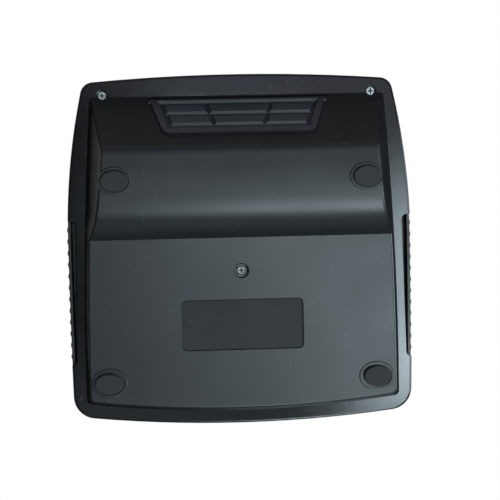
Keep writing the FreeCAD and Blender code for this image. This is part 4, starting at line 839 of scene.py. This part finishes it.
def make_lcd_finish():
    finish, tree = new_finish("display panel")
    where = object_place(tree)
    cloud = noise(tree, where, PANEL_CLOUD_SCALE, *SOFT)
    colour = blend(tree, spread(tree, cloud, *NOISE_RANGE), *map(opaque, PANEL_TONES))
    grain = noise(tree, where, PANEL_GRAIN_SCALE, *FINE)
    end_principled(tree, colour, spread(tree, grain, *NOISE_RANGE, *PANEL_ROUGHNESS))
    return finish


def stripes(tree, along, pitch, share):
    """A mask that is 1 over the first share of each pitch."""
    step = math_node(tree, "FRACT", math_node(tree, "DIVIDE", along, pitch))
    return math_node(tree, "LESS_THAN", step, share)


def make_solar_finish():
    low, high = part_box("solar_cell")
    finish, tree = new_finish("solar film")
    where = object_place(tree)
    along = split(tree, where)["X"]
    cells = spread(tree, along, low[0], high[0], 0.0, SOLAR_CELLS)
    gap = math_node(tree, "LESS_THAN", math_node(tree, "FRACT", cells), SOLAR_LINE)
    comb = math_node(tree, "MULTIPLY", stripes(tree, along, COMB_PITCH, COMB_LINE), COMB_SHARE)
    cloud = noise(tree, where, FILM_CLOUD_SCALE, *SOFT)
    colour = blend(tree, spread(tree, cloud, *NOISE_RANGE), *map(opaque, FILM_TONES))
    colour = blend(tree, comb, colour, grey(COMB_TONE))
    colour = blend(tree, gap, colour, grey(SOLAR_LINE_TONE))
    end_principled(tree, colour, FILM_ROUGHNESS)
    return finish


def make_window_finish():
    finish, tree = new_finish("clear window plastic")
    haze = noise(tree, object_place(tree), WINDOW_HAZE_SCALE, *SOFT)
    roughness = spread(tree, haze, *NOISE_RANGE, *WINDOW_ROUGHNESS)
    end_principled(tree, opaque(WINDOW_TONE), roughness, {"Transmission Weight": 1.0, "IOR": WINDOW_IOR})
    return finish


give(make_lcd_finish(), "lcd_glass")
give(make_solar_finish(), "solar_cell")
give(make_window_finish(), "display_window", "solar_window")
print("display, solar film and windows finished")

# %% [markdown]
# A seven-segment digit is seven bars with pointed ends. A font of that kind would have to be loaded from a
# file, but a six-sided circle, pulled apart at the middle, is such a bar. Bars that are off still show
# faintly on a real panel, so they are a second piece with a weaker ink.

# %% Digits on the display
DISPLAY_TILT = math.radians(9.2)
SHOWN = "1234567.89"
PLACES = 12
DIGIT_PITCH = 8.3 * MM
DIGIT_WIDTH = 5.2 * MM
DIGIT_HEIGHT = 12.4 * MM
DIGIT_SLANT = 0.09
SEGMENT_WIDTH = 1.15 * MM
SEGMENT_GAP = 0.25 * MM
SEGMENT_LIFT = 0.03 * MM
DOT_RADIUS = 0.6 * SEGMENT_WIDTH
DOT_SIDES = 12
LIT_TONE = 0.015
UNLIT_TONE = 0.34
LIT_SEGMENTS = {"0": "abcdef", "1": "bc", "2": "abged", "3": "abgcd", "4": "fgbc", "5": "afgcd",
                "6": "afgedc", "7": "abc", "8": "abcdefg", "9": "abcdfg"}
# Each letter's place across and up in half widths and quarter heights, and whether the bar lies flat.
SEGMENT_PLACES = {"a": (0, 2, True), "b": (1, 1, False), "c": (1, -1, False), "d": (0, -2, True),
                  "e": (-1, -1, False), "f": (-1, 1, False), "g": (0, 0, True)}

display_to_world = Matrix.Rotation(deck_tilt + DISPLAY_TILT, 4, "X")
world_to_display = display_to_world.inverted()

def add_bar(shape, place, length):
    radius = SEGMENT_WIDTH / math.sqrt(3)
    bar = bmesh.ops.create_circle(shape, cap_ends=True, segments=6, radius=radius)["verts"]
    stretch = length / 2 - radius
    bmesh.ops.translate(shape, verts=[point for point in bar if point.co.y > 0], vec=(0, stretch, 0))
    bmesh.ops.translate(shape, verts=[point for point in bar if point.co.y < 0], vec=(0, -stretch, 0))
    bmesh.ops.transform(shape, matrix=place, verts=bar)


def add_segment(shape, letter, x):
    across, up, lying = SEGMENT_PLACES[letter]
    place = Matrix.Translation((x + across * DIGIT_WIDTH / 2, up * DIGIT_HEIGHT / 4, 0))
    if lying:
        add_bar(shape, place @ Matrix.Rotation(math.pi / 2, 4, "Z"), DIGIT_WIDTH - SEGMENT_GAP)
    else:
        add_bar(shape, place, DIGIT_HEIGHT / 2 - SEGMENT_GAP)


def add_dot(shape, x):
    dot = bmesh.ops.create_circle(shape, cap_ends=True, segments=DOT_SIDES, radius=DOT_RADIUS)["verts"]
    bmesh.ops.translate(shape, verts=dot, vec=(x + DIGIT_PITCH / 2, -DIGIT_HEIGHT / 2, 0))


def finish_digits(name, shape, tone):
    slant = Matrix.Identity(4)
    slant[0][1] = DIGIT_SLANT
    glass_low, glass_high = deck_box("lcd_glass", world_to_display)
    middle = (glass_low + glass_high) / 2
    bmesh.ops.solidify(shape, geom=shape.faces[:], thickness=SEGMENT_LIFT)
    level = glass_high.z + SEGMENT_LIFT - max(point.co.z for point in shape.verts)
    place = display_to_world @ Matrix.Translation((middle.x, middle.y, level)) @ slant
    bmesh.ops.transform(shape, matrix=place, verts=shape.verts)
    add_piece(name, shape, make_ink(name, tone), "case", smooth=False)


lit = bmesh.new()
unlit = bmesh.new()
point_place = PLACES - len(SHOWN) + SHOWN.index(".")
for i, digit in enumerate(SHOWN.replace(".", "").rjust(PLACES)):
    x = (i - (PLACES - 1) / 2) * DIGIT_PITCH
    for letter in SEGMENT_PLACES:
        add_segment(lit if letter in LIT_SEGMENTS.get(digit, "") else unlit, letter, x)
    add_dot(lit if i == point_place else unlit, x)
finish_digits("display_digits", lit, LIT_TONE)
finish_digits("display_unlit_segments", unlit, UNLIT_TONE)
print(PLACES, "display digits")

# %% [markdown]
# What is left lies inside: the dark green board, the chip's epoxy cap, the small parts and the amber
# ribbon. They show only through gaps, so modelled tracks would be lost. One striped finish serves the board
# and the ribbon, and the keys' plastic with a smoother shine serves as epoxy.

# %% Board, chip and ribbon
TRACK_PITCH = 2.4 * MM
TRACK_SHARE = 0.3
RIBBON_PITCH = 1.1 * MM
RIBBON_SHARE = 0.5
STRIPE_STRENGTH = 0.6
STRIPED_CLOUD_SCALE = 300.0
STRIPED_SHADE = 0.8
STRIPED_ROUGHER = 0.1

def make_striped(name, base, stripe, pitch, share, rough):
    finish, tree = new_finish(name)
    where = object_place(tree)
    lines = stripes(tree, split(tree, where)["X"], pitch, share)
    cloud = spread(tree, noise(tree, where, STRIPED_CLOUD_SCALE, *SOFT), *NOISE_RANGE)
    colour = blend(tree, cloud, opaque(base), opaque(base, STRIPED_SHADE))
    colour = blend(tree, math_node(tree, "MULTIPLY", lines, STRIPE_STRENGTH), colour, opaque(stripe))
    end_principled(tree, colour, spread(tree, cloud, 0.0, 1.0, rough, rough + STRIPED_ROUGHER))
    return finish


board_finish = make_striped("green board", (0.005, 0.016, 0.009), (0.009, 0.028, 0.015),
                            TRACK_PITCH, TRACK_SHARE, 0.4)
ribbon_finish = make_striped("amber ribbon", (0.42, 0.20, 0.05), (0.62, 0.36, 0.12),
                             RIBBON_PITCH, RIBBON_SHARE, 0.25)
give(board_finish, "main_board")
give(ribbon_finish, "lcd_ribbon")
give(make_key_plastic("black epoxy", (0.012, 0.012, 0.012), 0.2), "chip_blob", "board_parts")
print("board, chip and ribbon finished")
